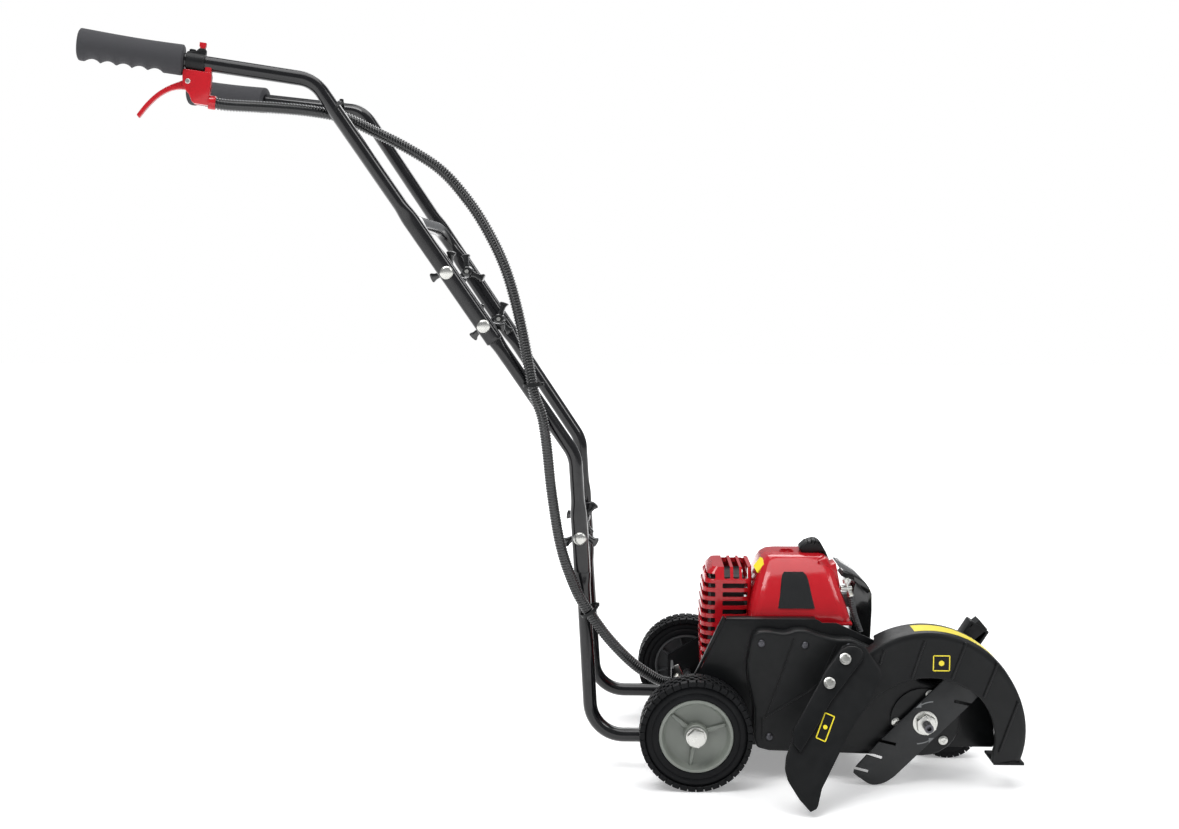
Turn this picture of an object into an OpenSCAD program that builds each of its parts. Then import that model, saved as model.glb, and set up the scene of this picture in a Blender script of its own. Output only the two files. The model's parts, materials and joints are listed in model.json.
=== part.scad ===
// Petrol lawn edger: folding tube handle, sheet chassis on three wheels, small
// crank-along-Y engine, belt drive and a vertical cutting blade in a half-round guard.
// +X is forward, +Z is up and -Y is the machine's right, where the blade is.
// The origin is on the ground below the middle of the rear axle. Sizes in mm.

/* [Wheels] */
// Rear wheel diameter
wheel_d = 150; // [130:1:180]
// Rear wheel width
wheel_w = 38; // [30:1:44]
// Distance between the outer faces of the rear wheels
track = 372; // [360:1:420]
// Rear hub diameter, inside the tyre
hub_d = 98; // [84:1:104]
// Rear axle diameter
axle_d = 12; // [10:1:14]
// Front wheel diameter
front_wheel_d = 90; // [76:1:96]
// Front wheel width
front_wheel_w = 30; // [24:1:32]
// Front wheel's distance ahead of the rear axle
front_wheel_x = 361; // [352:1:375]

/* [Handle] */
// Outer diameter of the handle tubes
tube_d = 19; // [16:1:20]
// Wall of the handle tubes
tube_wall = 1.5; // [1.2:0.1:2]
// Width of the tubes where they are flattened and bolted together
flat_w = 22.5; // [20:0.5:25]
// Thickness of the tubes where they are flattened
flat_t = 14; // [12:0.5:14]
// Height of the fold bolts
fold_z = 323; // [300:1:340]
// Fold bolts' distance behind the rear axle
fold_x = 156; // [148:1:170]
// Backward lean of the lower posts
post_lean = 3.4; // [0:0.1:6]
// Half the distance between the middle handle's lower legs
leg_half = 98; // [92:1:104]
// Height of the bend above the fold bolts
knee_rise = 113; // [90:1:130]
// Angle of the inclined handle above the ground
incline = 56; // [50:1:60]
// Outward angle of each inclined leg
splay = 4.5; // [0:0.5:6]
// Length of the middle handle from its knee to its crossbar
cross_l = 378; // [370:1:420]
// Distance from the knee to the lower bolt of the upper joint
bolt_l = 215; // [205:1:225]
// Distance between the two bolts of the upper joint
bolt_pitch = 85; // [70:1:88]
// Length from the knee to the upper tube's bend
bend_l = 596; // [500:1:700]
// Length of the upper tube behind its bend
run_l = 288; // [270:1:340]
// Upward angle of that rear run
run_rise = 7.5; // [0:0.5:12]
// Outward angle of that rear run
run_splay = 11.5; // [6:0.5:14]
// Grip length
grip_l = 130; // [105:1:140]
// Grip diameter
grip_d = 40; // [32:1:44]
// Diameter of the handle bolts
hbolt_d = 6; // [5:0.5:8]
// Reach of the wing knobs' lobes
knob_r = 21; // [15:1:24]

/* [Chassis] */
// Sheet thickness of the side plates and the deck
sheet = 3; // [2:0.5:4]
// Half the distance between the side plates' inner faces
plate_half = 114.6; // [112:0.1:120]
// Height of the lower tubes' run along the chassis
rail_z = 50; // [48:1:54]
// Height of the right plate's top flange
flange_z = 217; // [210:1:222]

/* [Cutting head] */
// Spindle's distance ahead of the rear axle
spindle_x = 305; // [296:1:312]
// Spindle height
spindle_z = 87; // [80:1:95]
// Blade length
blade_l = 236; // [190:1:240]
// Blade width
blade_w = 47; // [36:1:52]
// Blade thickness
blade_t = 3; // [2:0.5:4]
// Blade's turn at rest, from pointing straight ahead
blade_angle = 45; // [30:5:60]
// Outer radius of the guard
guard_r = 126; // [122:1:130]
// Wall of the guard
guard_wall = 3; // [2:0.5:4]
// Spindle diameter
spindle_d = 15; // [12:1:17]
// Diameter of the spindle's threaded end
thread_d = 12; // [10:1:12]
// Pitch diameter of the pulley on the spindle
driven_pd = 70; // [60:1:76]
// Pitch diameter of the clutch drum's pulley
drive_pd = 44; // [36:1:50]
// Depth of the belt cover, outward from the right plate
cover_depth = 25; // [24:0.5:27]
// Wall of the belt cover
cover_wall = 2.5; // [2:0.5:3.5]

/* [Engine] */
// Crankshaft's distance ahead of the rear axle
crank_x = 135; // [132:1:138]
// Crankshaft height
crank_z = 130; // [126:1:132]
// Crankshaft diameter
crank_d = 16; // [12:1:18]
// Height of the top cover's roof
cover_top_z = 300; // [292:1:304]
// Wall of the engine's moulded covers
shroud_wall = 3; // [2:0.5:4]

/* [Throttle] */
// Width of the throttle housing
housing_w = 18; // [16:0.5:22]
// Thickness of the throttle lever
lever_t = 8; // [5:0.5:9]
// Diameter of the corrugated conduit
conduit_d = 15.5; // [12:0.5:16]

/* [Hidden] */
$fn = 48;

gap = 0.3;          // between pieces that pass each other
play = 0.05;        // radial clearance of a running fit
lap = 2;            // how far one length of tube reaches into the next
swell = 0.1;        // extra thickness of a bend on each side of its wall
right = -1;
left = 1;

axle_z = wheel_d / 2;
wheel_out = track / 2;
wheel_in = wheel_out - wheel_w;
front_wheel_z = front_wheel_d / 2;
plate_out = plate_half + sheet;
tube_r = tube_d / 2;
deck_z = rail_z + tube_r + 0.1;
deck_top = deck_z + sheet;

// Handle points for one side, s = right or left
leg_dir = [-cos(incline) * cos(splay), sin(splay), sin(incline) * cos(splay)];
function mirrored(s, p) = [p[0], s * p[1], p[2]];
function unit(v) = v / norm(v);
function on_post(z, y) = [-fold_x - (z - fold_z) * tan(post_lean), y, z];
knee = on_post(fold_z + knee_rise, leg_half);
function on_leg(l) = knee + l * leg_dir;
leg_out = unit([0, 1, 0] - leg_dir[1] * leg_dir);
stack = flat_t / 2 + tube_r + 0.1;
upper_foot_l = bolt_l - 25;
upper_flat_end = cross_l + 17;
leg_flat_end = bolt_l + bolt_pitch + 30;
bend_point = on_leg(bend_l) + stack * leg_out;
run_dir = [-cos(run_rise) * cos(run_splay), cos(run_rise) * sin(run_splay), sin(run_rise)];
run_up = unit([0, 0, 1] - run_dir[2] * run_dir);
function on_run(k) = bend_point + k * run_dir;
run_end = on_run(run_l);
post_flat_top = fold_z + 20;
post_flat_foot = fold_z - 61;
leg_foot_z = fold_z - 48;
leg_flat_top = fold_z + 42;
post_half = leg_half - flat_t - gap;
rail_half = plate_half - 0.1 - tube_r;
corner_r = 46;
knee_r = 50;
cross_r = 36;
rail_end_x = 245;
knob_h = 19;

// Cutting head planes, measured outward along -Y
belt_mid = plate_out + 12;
cover_out = plate_out + cover_depth;
shield_out = cover_out + 3.2;
guard_out = 168;
blade_in = 151;
blade_out = blade_in + blade_t;
nut_h = 13;
shaft_end = blade_out + nut_h + 13;

// Flap plane: leans outward as it goes down
flap_top_z = 198;
flap_top_y = 168;
flap_lean = 27.5;
flap_t = 2.5;
bar_t = 5;
flap_bolts = [[193, 178], [171, 150]];

// Chassis and front wheel
frame_bolt_x = [-16, 58];
pivot_x = 262;
pivot_z = 72;
arm_in = 11;
front_in = 15;

// Belt cover's screws, spindle shield's screws, bearings and the guard's front end
screw_spots = [[88, 190], [146, 188], [204, 186], [100, 62]];
shield_screws = [for (a = [80, 200, 320]) [spindle_x + 35 * cos(a), spindle_z + 35 * sin(a)]];
screw_r = 2;
bearing_r = 17.5;
guard_foot_a = -22;

// Engine block's two sides
block_y0 = -88;
block_y1 = 40;

// Throttle places along the rear run (k) and above its middle line (h)
clamp_l = 24;
clamp_k = run_l - grip_l + 4 - clamp_l - 3;
housing_k = clamp_k - 9;
housing_l = clamp_l + 11.5;
housing_h = 52;
pivot_k = clamp_k + 19;
pivot_h = -26;
ferrule_h = -47;
switch_k = clamp_k + 6;
switch_h = 20;

// Conduit routes, point by point: throttle to the fold, and the fold to the bracket
split = [-186, -124, 341];
upper_route = [[-613.5, -185.7, 895.8], [-600, -183, 894], [-548, -173, 892], [-505, -156, 890],
    [-464, -137, 884], [-430, -130, 869], [-383, -127, 846], [-338, -122, 817],
    [-304, -120, 779], [-278, -120, 739], [-255, -120, 691], [-239, -120, 637],
    [-226, -122, 575], [-216, -127, 523], [-205, -127, 490], [-199, -125, 447],
    [-194, -124, 397], split];
lower_route = [[-185.7, -123.9, 339.6], [-179, -123, 308], [-171, -120, 282], [-158, -113, 248],
    [-143, -108, 222], [-116, -101, 183], [-84, -90, 147], [-56, -77, 124],
    [-42, -72, 116], [-31.4, -70.2, 114.3]];

// ---------- helpers ----------

// Children, drawn in X and Z, as a slab from y_hi towards -Y
module slab(y_hi, t) translate([0, y_hi, 0]) rotate([90, 0, 0]) linear_extrude(t) children();

// Cylinder along Y between two planes
module rod(x, z, r, y0, y1) translate([x, y1, z]) rotate([90, 0, 0]) cylinder(r = r, h = y1 - y0);

// Solid of revolution about a line along Y; children are drawn as radius and Y
module turned(x, z) translate([x, 0, z]) rotate([-90, 0, 0]) rotate_extrude() children();

// Children moved so that local x, y and z lie along ex, ey and ez at point c
module placed(c, ex, ey, ez)
    multmatrix([[ex[0], ey[0], ez[0], c[0]], [ex[1], ey[1], ez[1], c[1]],
        [ex[2], ey[2], ez[2], c[2]], [0, 0, 0, 1]])
        children();

module on_side(s) {
    if (s == right) mirror([0, 1, 0]) children();
    else children();
}

// Any direction perpendicular to d
function beside(d) = unit(cross(d, abs(d[2]) > 0.9 ? [1, 0, 0] : [0, 0, 1]));

module ring(r, wall) {
    difference() {
        circle(r);
        circle(r - wall);
    }
}

module straight_tube(a, b, r, wall) {
    d = unit(b - a);
    u = beside(d);
    placed(a, u, cross(d, u), d) linear_extrude(norm(b - a)) ring(r, wall);
}

// Bent length of tube, a little thicker than the straight lengths whose ends it holds
module arc_tube(p, d1, d2, r, wall, bend) {
    turn = acos(d1 * d2);
    n = unit(cross(d1, d2));
    c = p + unit(d2 - d1) * bend / cos(turn / 2);
    e1 = unit(p - d1 * bend * tan(turn / 2) - c);
    placed(c, e1, cross(n, e1), n) rotate_extrude(angle = turn) translate([bend, 0])
        ring(r + swell, wall + 2 * swell);
}

// Round tube along straight lines with a rounded bend at every inner point
module bent_tube(pts, r, wall, bend) {
    n = len(pts);
    dirs = [for (i = [0:n - 2]) unit(pts[i + 1] - pts[i])];
    cut = [for (i = [0:n - 1]) (i == 0 || i == n - 1) ? 0
        : bend * tan(acos(dirs[i - 1] * dirs[i]) / 2) - lap];
    for (i = [0:n - 2])
        straight_tube(pts[i] + dirs[i] * cut[i], pts[i + 1] - dirs[i] * cut[i + 1], r, wall);
    for (i = [1:n - 2]) arc_tube(pts[i], dirs[i - 1], dirs[i], r, wall, bend);
}

module stadium(w, t) {
    square([w - t, t], center = true);
    for (e = [-1, 1]) translate([e * (w - t) / 2, 0]) circle(t / 2);
}

// Flattened tube with closed ends; out is the direction of its thin side
module flat_tube(a, b, out) {
    d = unit(b - a);
    l = norm(b - a);
    plug = 3;
    difference() {
        placed(a, cross(out, d), out, d) linear_extrude(l) stadium(flat_w, flat_t);
        placed(a + d * plug, cross(out, d), out, d) linear_extrude(l - 2 * plug)
            stadium(flat_w - 2 * tube_wall, flat_t - 2 * tube_wall);
    }
}

module cross_hole(c, out, r) placed(c - 30 * out, beside(out), cross(out, beside(out)), out)
    cylinder(r = r, h = 60);

// Smooth points through a route, two steps to each stretch
function spline_at(p, i, t) =
    let (a = p[max(i - 1, 0)], b = p[i], c = p[i + 1], d = p[min(i + 2, len(p) - 1)])
    0.5 * ((2 * b) + (c - a) * t + (2 * a - 5 * b + 4 * c - d) * t * t
        + (3 * b - a - 3 * c + d) * t * t * t);
function smooth(p) = concat([for (i = [0:len(p) - 2]) for (t = [0, 0.5]) spline_at(p, i, t)],
    [p[len(p) - 1]]);

// Closed tube swept along a route
module swept(route, r, sides) {
    pts = smooth(route);
    n = len(pts);
    dirs = [for (i = [0:n - 1]) unit(pts[min(i + 1, n - 1)] - pts[max(i - 1, 0)])];
    verts = [for (i = [0:n - 1]) let (u = unit(cross([0, 1, 0], dirs[i])), v = cross(dirs[i], u))
        for (k = [0:sides - 1]) pts[i] + r * (cos(360 * k / sides) * u + sin(360 * k / sides) * v)];
    walls = [for (i = [0:n - 2]) for (k = [0:sides - 1]) for (f = [0, 1])
        let (a = i * sides + k, b = i * sides + (k + 1) % sides)
        f == 0 ? [a, a + sides, b] : [b, a + sides, b + sides]];
    ends = [[for (k = [0:sides - 1]) k], [for (k = [sides - 1:-1:0]) (n - 1) * sides + k]];
    polyhedron(verts, concat(walls, ends));
}

// ---------- handle ----------

module upper_tube(s) {
    on_side(s) color("#15161a") difference() {
        union() {
            flat_tube(on_leg(upper_foot_l) + stack * leg_out,
                on_leg(upper_flat_end) + stack * leg_out, leg_out);
            bent_tube([on_leg(upper_flat_end) + stack * leg_out, bend_point, run_end],
                tube_r, tube_wall, 40);
            crimp(on_leg(upper_flat_end) + stack * leg_out, leg_dir);
        }
        for (k = [0, 1]) cross_hole(on_leg(bolt_l + k * bolt_pitch), leg_out, hbolt_d / 2 + play);
    }
}
module upper_tube_right() upper_tube(right);
module upper_tube_left() upper_tube(left);

module grip_body() {
    bore_l = grip_l - 4;
    rotate_extrude() difference() {
        polygon([[0, 0], [grip_d / 2 - 3, 0], [grip_d / 2, 3], [grip_d / 2, grip_l - 5],
            [grip_d / 2 - 5, grip_l], [0, grip_l]]);
        square([tube_r, bore_l]);
        for (k = [0:4]) translate([grip_d / 2 + 9, 20 + k * (grip_l - 34) / 4]) circle(11);
    }
}

module grip(s) {
    on_side(s) color("#2b2c2e")
        placed(on_run(run_l - grip_l + 4), cross(run_dir, run_up), -run_up, run_dir) {
            intersection() {
                grip_body();
                translate([-grip_d, 0, -1]) cube([2 * grip_d, grip_d, grip_l + 2]);
            }
            rotate_extrude(angle = -180) polygon([[tube_r, 0], [grip_d / 2 - 3, 0],
                [grip_d / 2, 3], [grip_d / 2, grip_l - 5], [grip_d / 2 - 5, grip_l], [0, grip_l],
                [0, grip_l - 4], [tube_r, grip_l - 4]]);
        }
}
module grip_right() grip(right);
module grip_left() grip(left);

// Solid plug that welds a flattened length to a round one at point p
module crimp(p, d) {
    u = beside(d);
    placed(p - lap * d, u, cross(d, u), d) cylinder(r = tube_r - tube_wall / 2, h = 2 * lap);
}

module leg_tube() {
    flat_tube(on_post(leg_foot_z, leg_half), on_post(leg_flat_top, leg_half), [0, 1, 0]);
    bent_tube([on_post(leg_flat_top, leg_half), knee, on_leg(upper_foot_l - 5)],
        tube_r, tube_wall, knee_r);
    flat_tube(on_leg(upper_foot_l - 5), on_leg(leg_flat_end), leg_out);
    for (l = [upper_foot_l - 5, leg_flat_end]) crimp(on_leg(l), leg_dir);
    crimp(on_post(leg_flat_top, leg_half), unit(knee - on_post(leg_flat_top, leg_half)));
    for (k = [0, 1]) placed(on_leg(bolt_l + k * bolt_pitch) + (flat_t / 2 - 1) * leg_out,
        leg_dir, cross(leg_out, leg_dir), leg_out) cylinder(r = 8, h = stack - flat_t + 1);
}

// One leg of the middle handle with half of its crossbar
module handle_half() {
    top = on_leg(cross_l);
    difference() {
        union() {
            leg_tube();
            bent_tube([on_leg(leg_flat_end), top, [top[0], leg_half / 3, top[2]]],
                tube_r, tube_wall, cross_r);
        }
        for (k = [0, 1]) cross_hole(on_leg(bolt_l + k * bolt_pitch), leg_out, hbolt_d / 2 + play);
        cross_hole(on_post(fold_z, leg_half), [0, 1, 0], hbolt_d / 2 + play);
    }
}

module middle_handle() {
    color("#15161a") {
        handle_half();
        mirror([0, 1, 0]) handle_half();
        middle = on_leg(cross_l);
        half = leg_half / 3 + lap;
        straight_tube([middle[0], -half, middle[2]], [middle[0], half, middle[2]],
            tube_r + swell, tube_wall + 2 * swell);
    }
}

// Cup-headed bolt along local z: head outside at 0, shank inward to -grip_len
module cup_bolt(grip_len) {
    translate([0, 0, -grip_len]) cylinder(d = hbolt_d, h = grip_len + 0.5);
    difference() {
        translate([0, 0, -7.2]) sphere(r = 11);
        translate([0, 0, -20]) cube([40, 40, 40], center = true);
    }
}

module upper_joint_bolts() {
    head = stack + flat_t / 2;
    color("#d9dadb") for (s = [right, left]) on_side(s) for (k = [0, 1])
        placed(on_leg(bolt_l + k * bolt_pitch) + head * leg_out, leg_dir, cross(leg_out, leg_dir), leg_out)
            cup_bolt(head + flat_t / 2 + gap + knob_h + 2);
}

// Three-lobed knob along local z, its bearing face at 0
module wing_knob() {
    color("#1c1d1f") difference() {
        union() {
            cylinder(r = 9, h = knob_h - 4);
            cylinder(r = 6.5, h = knob_h);
            for (a = [0, 120, 240]) rotate(a) translate([0, -4, 4]) cube([knob_r - 4, 8, 12]);
            for (a = [0, 120, 240]) rotate(a) translate([knob_r - 4, 0, 4]) cylinder(r = 4, h = 12);
        }
        translate([0, 0, -1]) cylinder(d = hbolt_d + 2 * play, h = knob_h + 2);
    }
}

module upper_knob(s, k, spin) {
    on_side(s) placed(on_leg(bolt_l + k * bolt_pitch) - (flat_t / 2 + gap) * leg_out,
        leg_dir, cross(-leg_out, leg_dir), -leg_out) rotate(spin) wing_knob();
}
module knob_right_front() upper_knob(right, 0, 15);
module knob_right_rear() upper_knob(right, 1, 40);
module knob_left_front() upper_knob(left, 0, 70);
module knob_left_rear() upper_knob(left, 1, 95);

// ---------- throttle ----------

// Local frame on the right rear run: x towards the rear end, y inward, z up
module at_throttle() on_side(right) placed(bend_point, run_dir, cross(run_up, run_dir), run_up)
    children();

module throttle_clamp() {
    color("#1b1c1e") at_throttle() difference() {
        union() {
            translate([clamp_k, 0, 0]) rotate([0, 90, 0]) cylinder(r = tube_r + 4.5, h = clamp_l);
            translate([clamp_k - 1, -8, tube_r]) cube([clamp_l + 2, 16, switch_h - tube_r]);
        }
        translate([clamp_k - 5, 0, 0]) rotate([0, 90, 0]) cylinder(r = tube_r, h = clamp_l + 10);
        translate([switch_k - 5, -4.5, switch_h - 5]) cube([10, 9, 10]);
    }
}

module throttle_housing() {
    color("#c31820") at_throttle() {
        difference() {
            translate([housing_k, -housing_w / 2, -housing_h])
                cube([housing_l, housing_w, housing_h - 6]);
            translate([housing_k - 5, 0, 0]) rotate([0, 90, 0])
                cylinder(r = tube_r + 4.5, h = housing_l + 10);
            translate([clamp_k + 10, -lever_t / 2 - gap, -housing_h - 5])
                cube([30, lever_t + 2 * gap, 80]);
            translate([clamp_k + 32, 0, -66]) rotate([90, 0, 0])
                cylinder(r = 24, h = 60, center = true);
        }
        translate([pivot_k, housing_w / 2 - 1, pivot_h]) rotate([90, 0, 0])
            cylinder(r = 2.5, h = housing_w - 2);
        translate([housing_k - 8, 0, ferrule_h]) rotate([0, 90, 0])
            cylinder(d = conduit_d + 1, h = 9);
    }
}

module throttle_lever() {
    arm = [[0, 5], [9, -2], [23, -10], [35, -20], [46, -35], [56, -53], [53, -57],
        [46, -48], [37, -36], [26, -24], [13, -16], [0, -12]];
    color("#c31820") at_throttle() translate([pivot_k, lever_t / 2, pivot_h]) rotate([90, 0, 0])
        difference() {
            union() {
                cylinder(r = 5.5, h = lever_t);
                linear_extrude(lever_t) polygon(arm);
            }
            translate([0, 0, -1]) cylinder(r = 2.5 + play, h = lever_t + 2);
        }
}

module stop_switch() {
    color("#d01c22") at_throttle() {
        translate([switch_k, 4, switch_h]) rotate([90, 0, 0]) cylinder(r = 3.5, h = 8);
        translate([switch_k - 4, -4, switch_h]) cube([8, 8, 5]);
    }
}

module conduit_upper() color("#202124") swept(upper_route, conduit_d / 2, 10);
module conduit_lower() color("#202124") swept(lower_route, conduit_d / 2, 10);

// ---------- lower frame ----------

module lower_tube(s) {
    flat_foot = on_post(post_flat_foot, post_half);
    corner = on_post(rail_z, rail_half);
    on_side(s) color("#15161a") difference() {
        union() {
            flat_tube(flat_foot, on_post(post_flat_top, post_half), [0, 1, 0]);
            bent_tube([flat_foot, on_post(post_flat_foot - 22, post_half), corner,
                [rail_end_x, rail_half, rail_z]], tube_r, tube_wall, corner_r);
            crimp(flat_foot, [0, 0, 1]);
        }
        cross_hole(on_post(fold_z, post_half), [0, 1, 0], hbolt_d / 2 + play);
        for (x = frame_bolt_x) cross_hole([x, rail_half, rail_z], [0, 1, 0], 4 + play);
    }
}
module lower_tube_right() lower_tube(right);
module lower_tube_left() lower_tube(left);

module fold_bolts() {
    head = leg_half + flat_t / 2 + gap;
    color("#d9dadb") for (s = [right, left]) on_side(s)
        translate([-fold_x, head, fold_z]) rotate([-90, 0, 0])
            cup_bolt(head - post_half + flat_t / 2 + gap + knob_h + 2);
}

module fold_knob(s, spin) {
    on_side(s) translate([-fold_x, post_half - flat_t / 2 - gap, fold_z]) rotate([90, 0, 0])
        rotate(spin) wing_knob();
}
module knob_fold_right() fold_knob(right, 30);
module knob_fold_left() fold_knob(left, 50);

module right_outline() {
    polygon([[-30, 42], [-30, 102], [6, 141], [42, flange_z], [165, flange_z], [172, 212],
        [191, 212], [246, 187], [300, 187], [358, 168], [400, 120], [408, 40]]);
}

module side_plate_right() {
    color("#191a1c") difference() {
        union() {
            slab(-plate_half, sheet) right_outline();
            translate([42, -plate_half, flange_z - sheet]) cube([123, 14, sheet]);
        }
        rod(0, axle_z, axle_d / 2 + play, -200, 0);
        rod(crank_x, crank_z, 14, -200, 0);
        rod(spindle_x, spindle_z, spindle_d / 2 + 3, -200, 0);
        rod(pivot_x, pivot_z, 6 + play, -200, 0);
        for (x = frame_bolt_x) rod(x, rail_z, 4 + play, -200, 0);
    }
}

module side_plate_left() {
    color("#191a1c") difference() {
        slab(plate_out, sheet) polygon([[-30, 42], [-30, 102], [20, 132], [240, 132], [285, 92],
            [285, 42]]);
        rod(0, axle_z, axle_d / 2 + play, 0, 200);
        rod(pivot_x, pivot_z, 6 + play, 0, 200);
        for (x = frame_bolt_x) rod(x, rail_z, 4 + play, 0, 200);
    }
}

module engine_deck() {
    tab_x = lower_route[len(lower_route) - 1][0] + 1.4;
    color("#191a1c") {
        translate([tab_x, -plate_half + 0.1, deck_z])
            cube([244 - tab_x, 2 * plate_half - 0.2, sheet]);
        difference() {
            translate([tab_x, -90, deck_top - 1]) cube([sheet, 42, 78]);
            translate([tab_x - 1, -70, 114]) rotate([0, 90, 0]) cylinder(r = 4, h = 10);
        }
    }
}

// Flanged hexagon bolt along local z: bearing face at 0, shank to -l
module flange_bolt(l) {
    cylinder(r = 8.5, h = 1.6);
    cylinder(d = 13, h = 7, $fn = 6);
    translate([0, 0, -l]) cylinder(r = 4, h = l + 0.5);
}

function flap_y(z) = -flap_top_y - (flap_top_z - z) * tan(flap_lean);

module flange_bolts() {
    color("#c9cbcd") {
        for (s = [right, left]) on_side(s) for (x = frame_bolt_x)
            translate([x, plate_out, rail_z]) rotate([-90, 0, 0]) flange_bolt(22);
        at_flap_bolts() translate([0, 0, flap_t + bar_t]) flange_bolt(22);
    }
}

// ---------- wheels ----------

module rear_axle() {
    color("#a9abad") difference() {
        union() {
            rod(0, axle_z, axle_d / 2, -wheel_out + 2, wheel_out - 2);
            for (s = [right, left]) on_side(s) rod(0, axle_z, axle_d / 2 + 4, plate_out, wheel_in - gap);
        }
        for (s = [right, left]) on_side(s) rod(0, axle_z, 3, wheel_out - 22, wheel_out);
    }
}

module tyre_profile(r, hub_r, y0, w) {
    polygon([[hub_r, y0 + 2], [hub_r, y0 + w - 2], [hub_r + 6, y0 + w], [r - 8, y0 + w],
        [r - 1, y0 + w - 5], [r, y0 + w - 9], [r, y0 + 9], [r - 1, y0 + 5], [r - 8, y0],
        [hub_r + 6, y0]]);
}

module hub_profile(hub_r, bore, y0, w) {
    translate([hub_r - 5, y0 + 2]) square([5, w - 4]);
    translate([bore + 3, y0 + w / 2 - 2.5]) square([hub_r - bore - 5, 5]);
    translate([bore, y0]) square([7, w]);
}

module tyre(s) on_side(s) color("#1d1e20") turned(0, axle_z)
    tyre_profile(wheel_d / 2, hub_d / 2, wheel_in, wheel_w);
module tyre_right() tyre(right);
module tyre_left() tyre(left);

module hub(s) {
    on_side(s) color("#7c8278") {
        turned(0, axle_z) hub_profile(hub_d / 2, axle_d / 2 + play, wheel_in, wheel_w);
        translate([0, wheel_out - 14, axle_z]) for (a = [90, 210, 330]) rotate([0, a, 0])
            translate([axle_d / 2 + 5, -6, -3]) cube([hub_d / 2 - axle_d / 2 - 9, 18, 6]);
    }
}
module hub_right() hub(right);
module hub_left() hub(left);

module wheel_bolts() {
    color("#cfd1d2") for (s = [right, left]) on_side(s) translate([0, wheel_out + gap, axle_z])
        rotate([-90, 0, 0]) {
            cylinder(r = 15, h = 2.5);
            cylinder(d = 22, h = 9, $fn = 6);
            translate([0, 0, -18]) cylinder(r = 3, h = 18.5);
        }
}

module front_pivot() color("#a9abad") rod(pivot_x, pivot_z, 6, -plate_out - 1, plate_out + 1);

module front_arm() {
    y_hi = -arm_in + 6;
    wheel_face = front_in + front_wheel_w;
    color("#191a1c") difference() {
        union() {
            slab(y_hi, 6) {
                translate([pivot_x, pivot_z]) circle(15);
                translate([front_wheel_x, front_wheel_z]) circle(12);
                polygon([[pivot_x - 4, pivot_z - 14], [front_wheel_x - 3, front_wheel_z - 11],
                    [front_wheel_x + 3, front_wheel_z + 11], [pivot_x + 4, pivot_z + 14]]);
                polygon([[pivot_x + 8, pivot_z - 10], [403, 172], [393, 184], [pivot_x - 8, pivot_z + 10]]);
            }
            translate([398, -17, 178]) rotate([0, -40, 0]) cube([34, 23, 18], center = true);
            rod(front_wheel_x, front_wheel_z, 5, -wheel_face - 3, y_hi);
            rod(front_wheel_x, front_wheel_z, 9, -wheel_face - 6, -wheel_face - gap - 0.2);
            rod(pivot_x, pivot_z, 12, y_hi - 12, y_hi + 8);
        }
        rod(pivot_x, pivot_z, 6 + play, -60, 60);
    }
}

module front_tyre() color("#1d1e20") turned(front_wheel_x, front_wheel_z)
    tyre_profile(front_wheel_d / 2, front_wheel_d / 2 - 18, -front_in - front_wheel_w, front_wheel_w);
module front_hub() color("#2a2b2d") turned(front_wheel_x, front_wheel_z)
    hub_profile(front_wheel_d / 2 - 18, 5 + play, -front_in - front_wheel_w, front_wheel_w);

// ---------- belt drive and cover ----------

// Solid around two pulleys from y0 to y1: cylinders with their common tangents
module belt_solid(grow, y0, y1) {
    a = [crank_x, crank_z];
    b = [spindle_x, spindle_z];
    ra = drive_pd / 2 + grow;
    rb = driven_pd / 2 + grow;
    d = norm(b - a);
    base = atan2(b[1] - a[1], b[0] - a[0]);
    lift = acos((ra - rb) / d);
    function rim(c, r, turn) = c + (r - 0.02) * [cos(base + turn), sin(base + turn)];
    rod(a[0], a[1], ra, y0, y1);
    rod(b[0], b[1], rb, y0, y1);
    slab(y1, y1 - y0)
        polygon([rim(a, ra, lift), rim(b, rb, lift), rim(b, rb, -lift), rim(a, ra, -lift)]);
}

module drive_belt() {
    color("#232323") difference() {
        belt_solid(3.5, -belt_mid - 4.5, -belt_mid + 4.5);
        belt_solid(-2, -belt_mid - 6, -belt_mid + 6);
    }
}

// Pulley on a line along Y, grooved clear of the belt
module pulley(x, z, pitch_r, bore) {
    turned(x, z) difference() {
        translate([bore, -belt_mid - 8]) square([pitch_r + 6 - bore, 16]);
        polygon([[pitch_r - 2 - gap, -belt_mid - 4.5 - gap], [pitch_r + 8, -belt_mid - 4.5 - gap],
            [pitch_r + 8, -belt_mid + 4.5 + gap], [pitch_r - 2 - gap, -belt_mid + 4.5 + gap]]);
    }
}

module driven_pulley() color("#8f9294") pulley(spindle_x, spindle_z, driven_pd / 2, spindle_d / 2);

module clutch_drum() {
    color("#8f9294") {
        pulley(crank_x, crank_z, drive_pd / 2, 5);
        turned(crank_x, crank_z) {
            polygon([[0, -belt_mid - 8], [5, -belt_mid - 8], [5, -belt_mid + 8], [12, -belt_mid + 8],
                [12, -112], [40, -112], [40, -92], [37, -92], [37, -109], [0, -109]]);
        }
    }
}

module cover_outline(i) {
    polygon([[78 + i, 48 + i], [spindle_x, spindle_z - 50 + i], [spindle_x, spindle_z + 50 - i],
        [237 - i, 183 - i], [80 + i, 201 - i]]);
    translate([spindle_x, spindle_z]) circle(50 - i);
}

// Children on the flap bolts' axes, local z outward, 0 at the flap's inner face
module at_flap_bolts() {
    for (p = flap_bolts) translate([p[0], flap_y(p[1]), p[1]]) rotate([90 - flap_lean, 0, 0])
        children();
}

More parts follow.
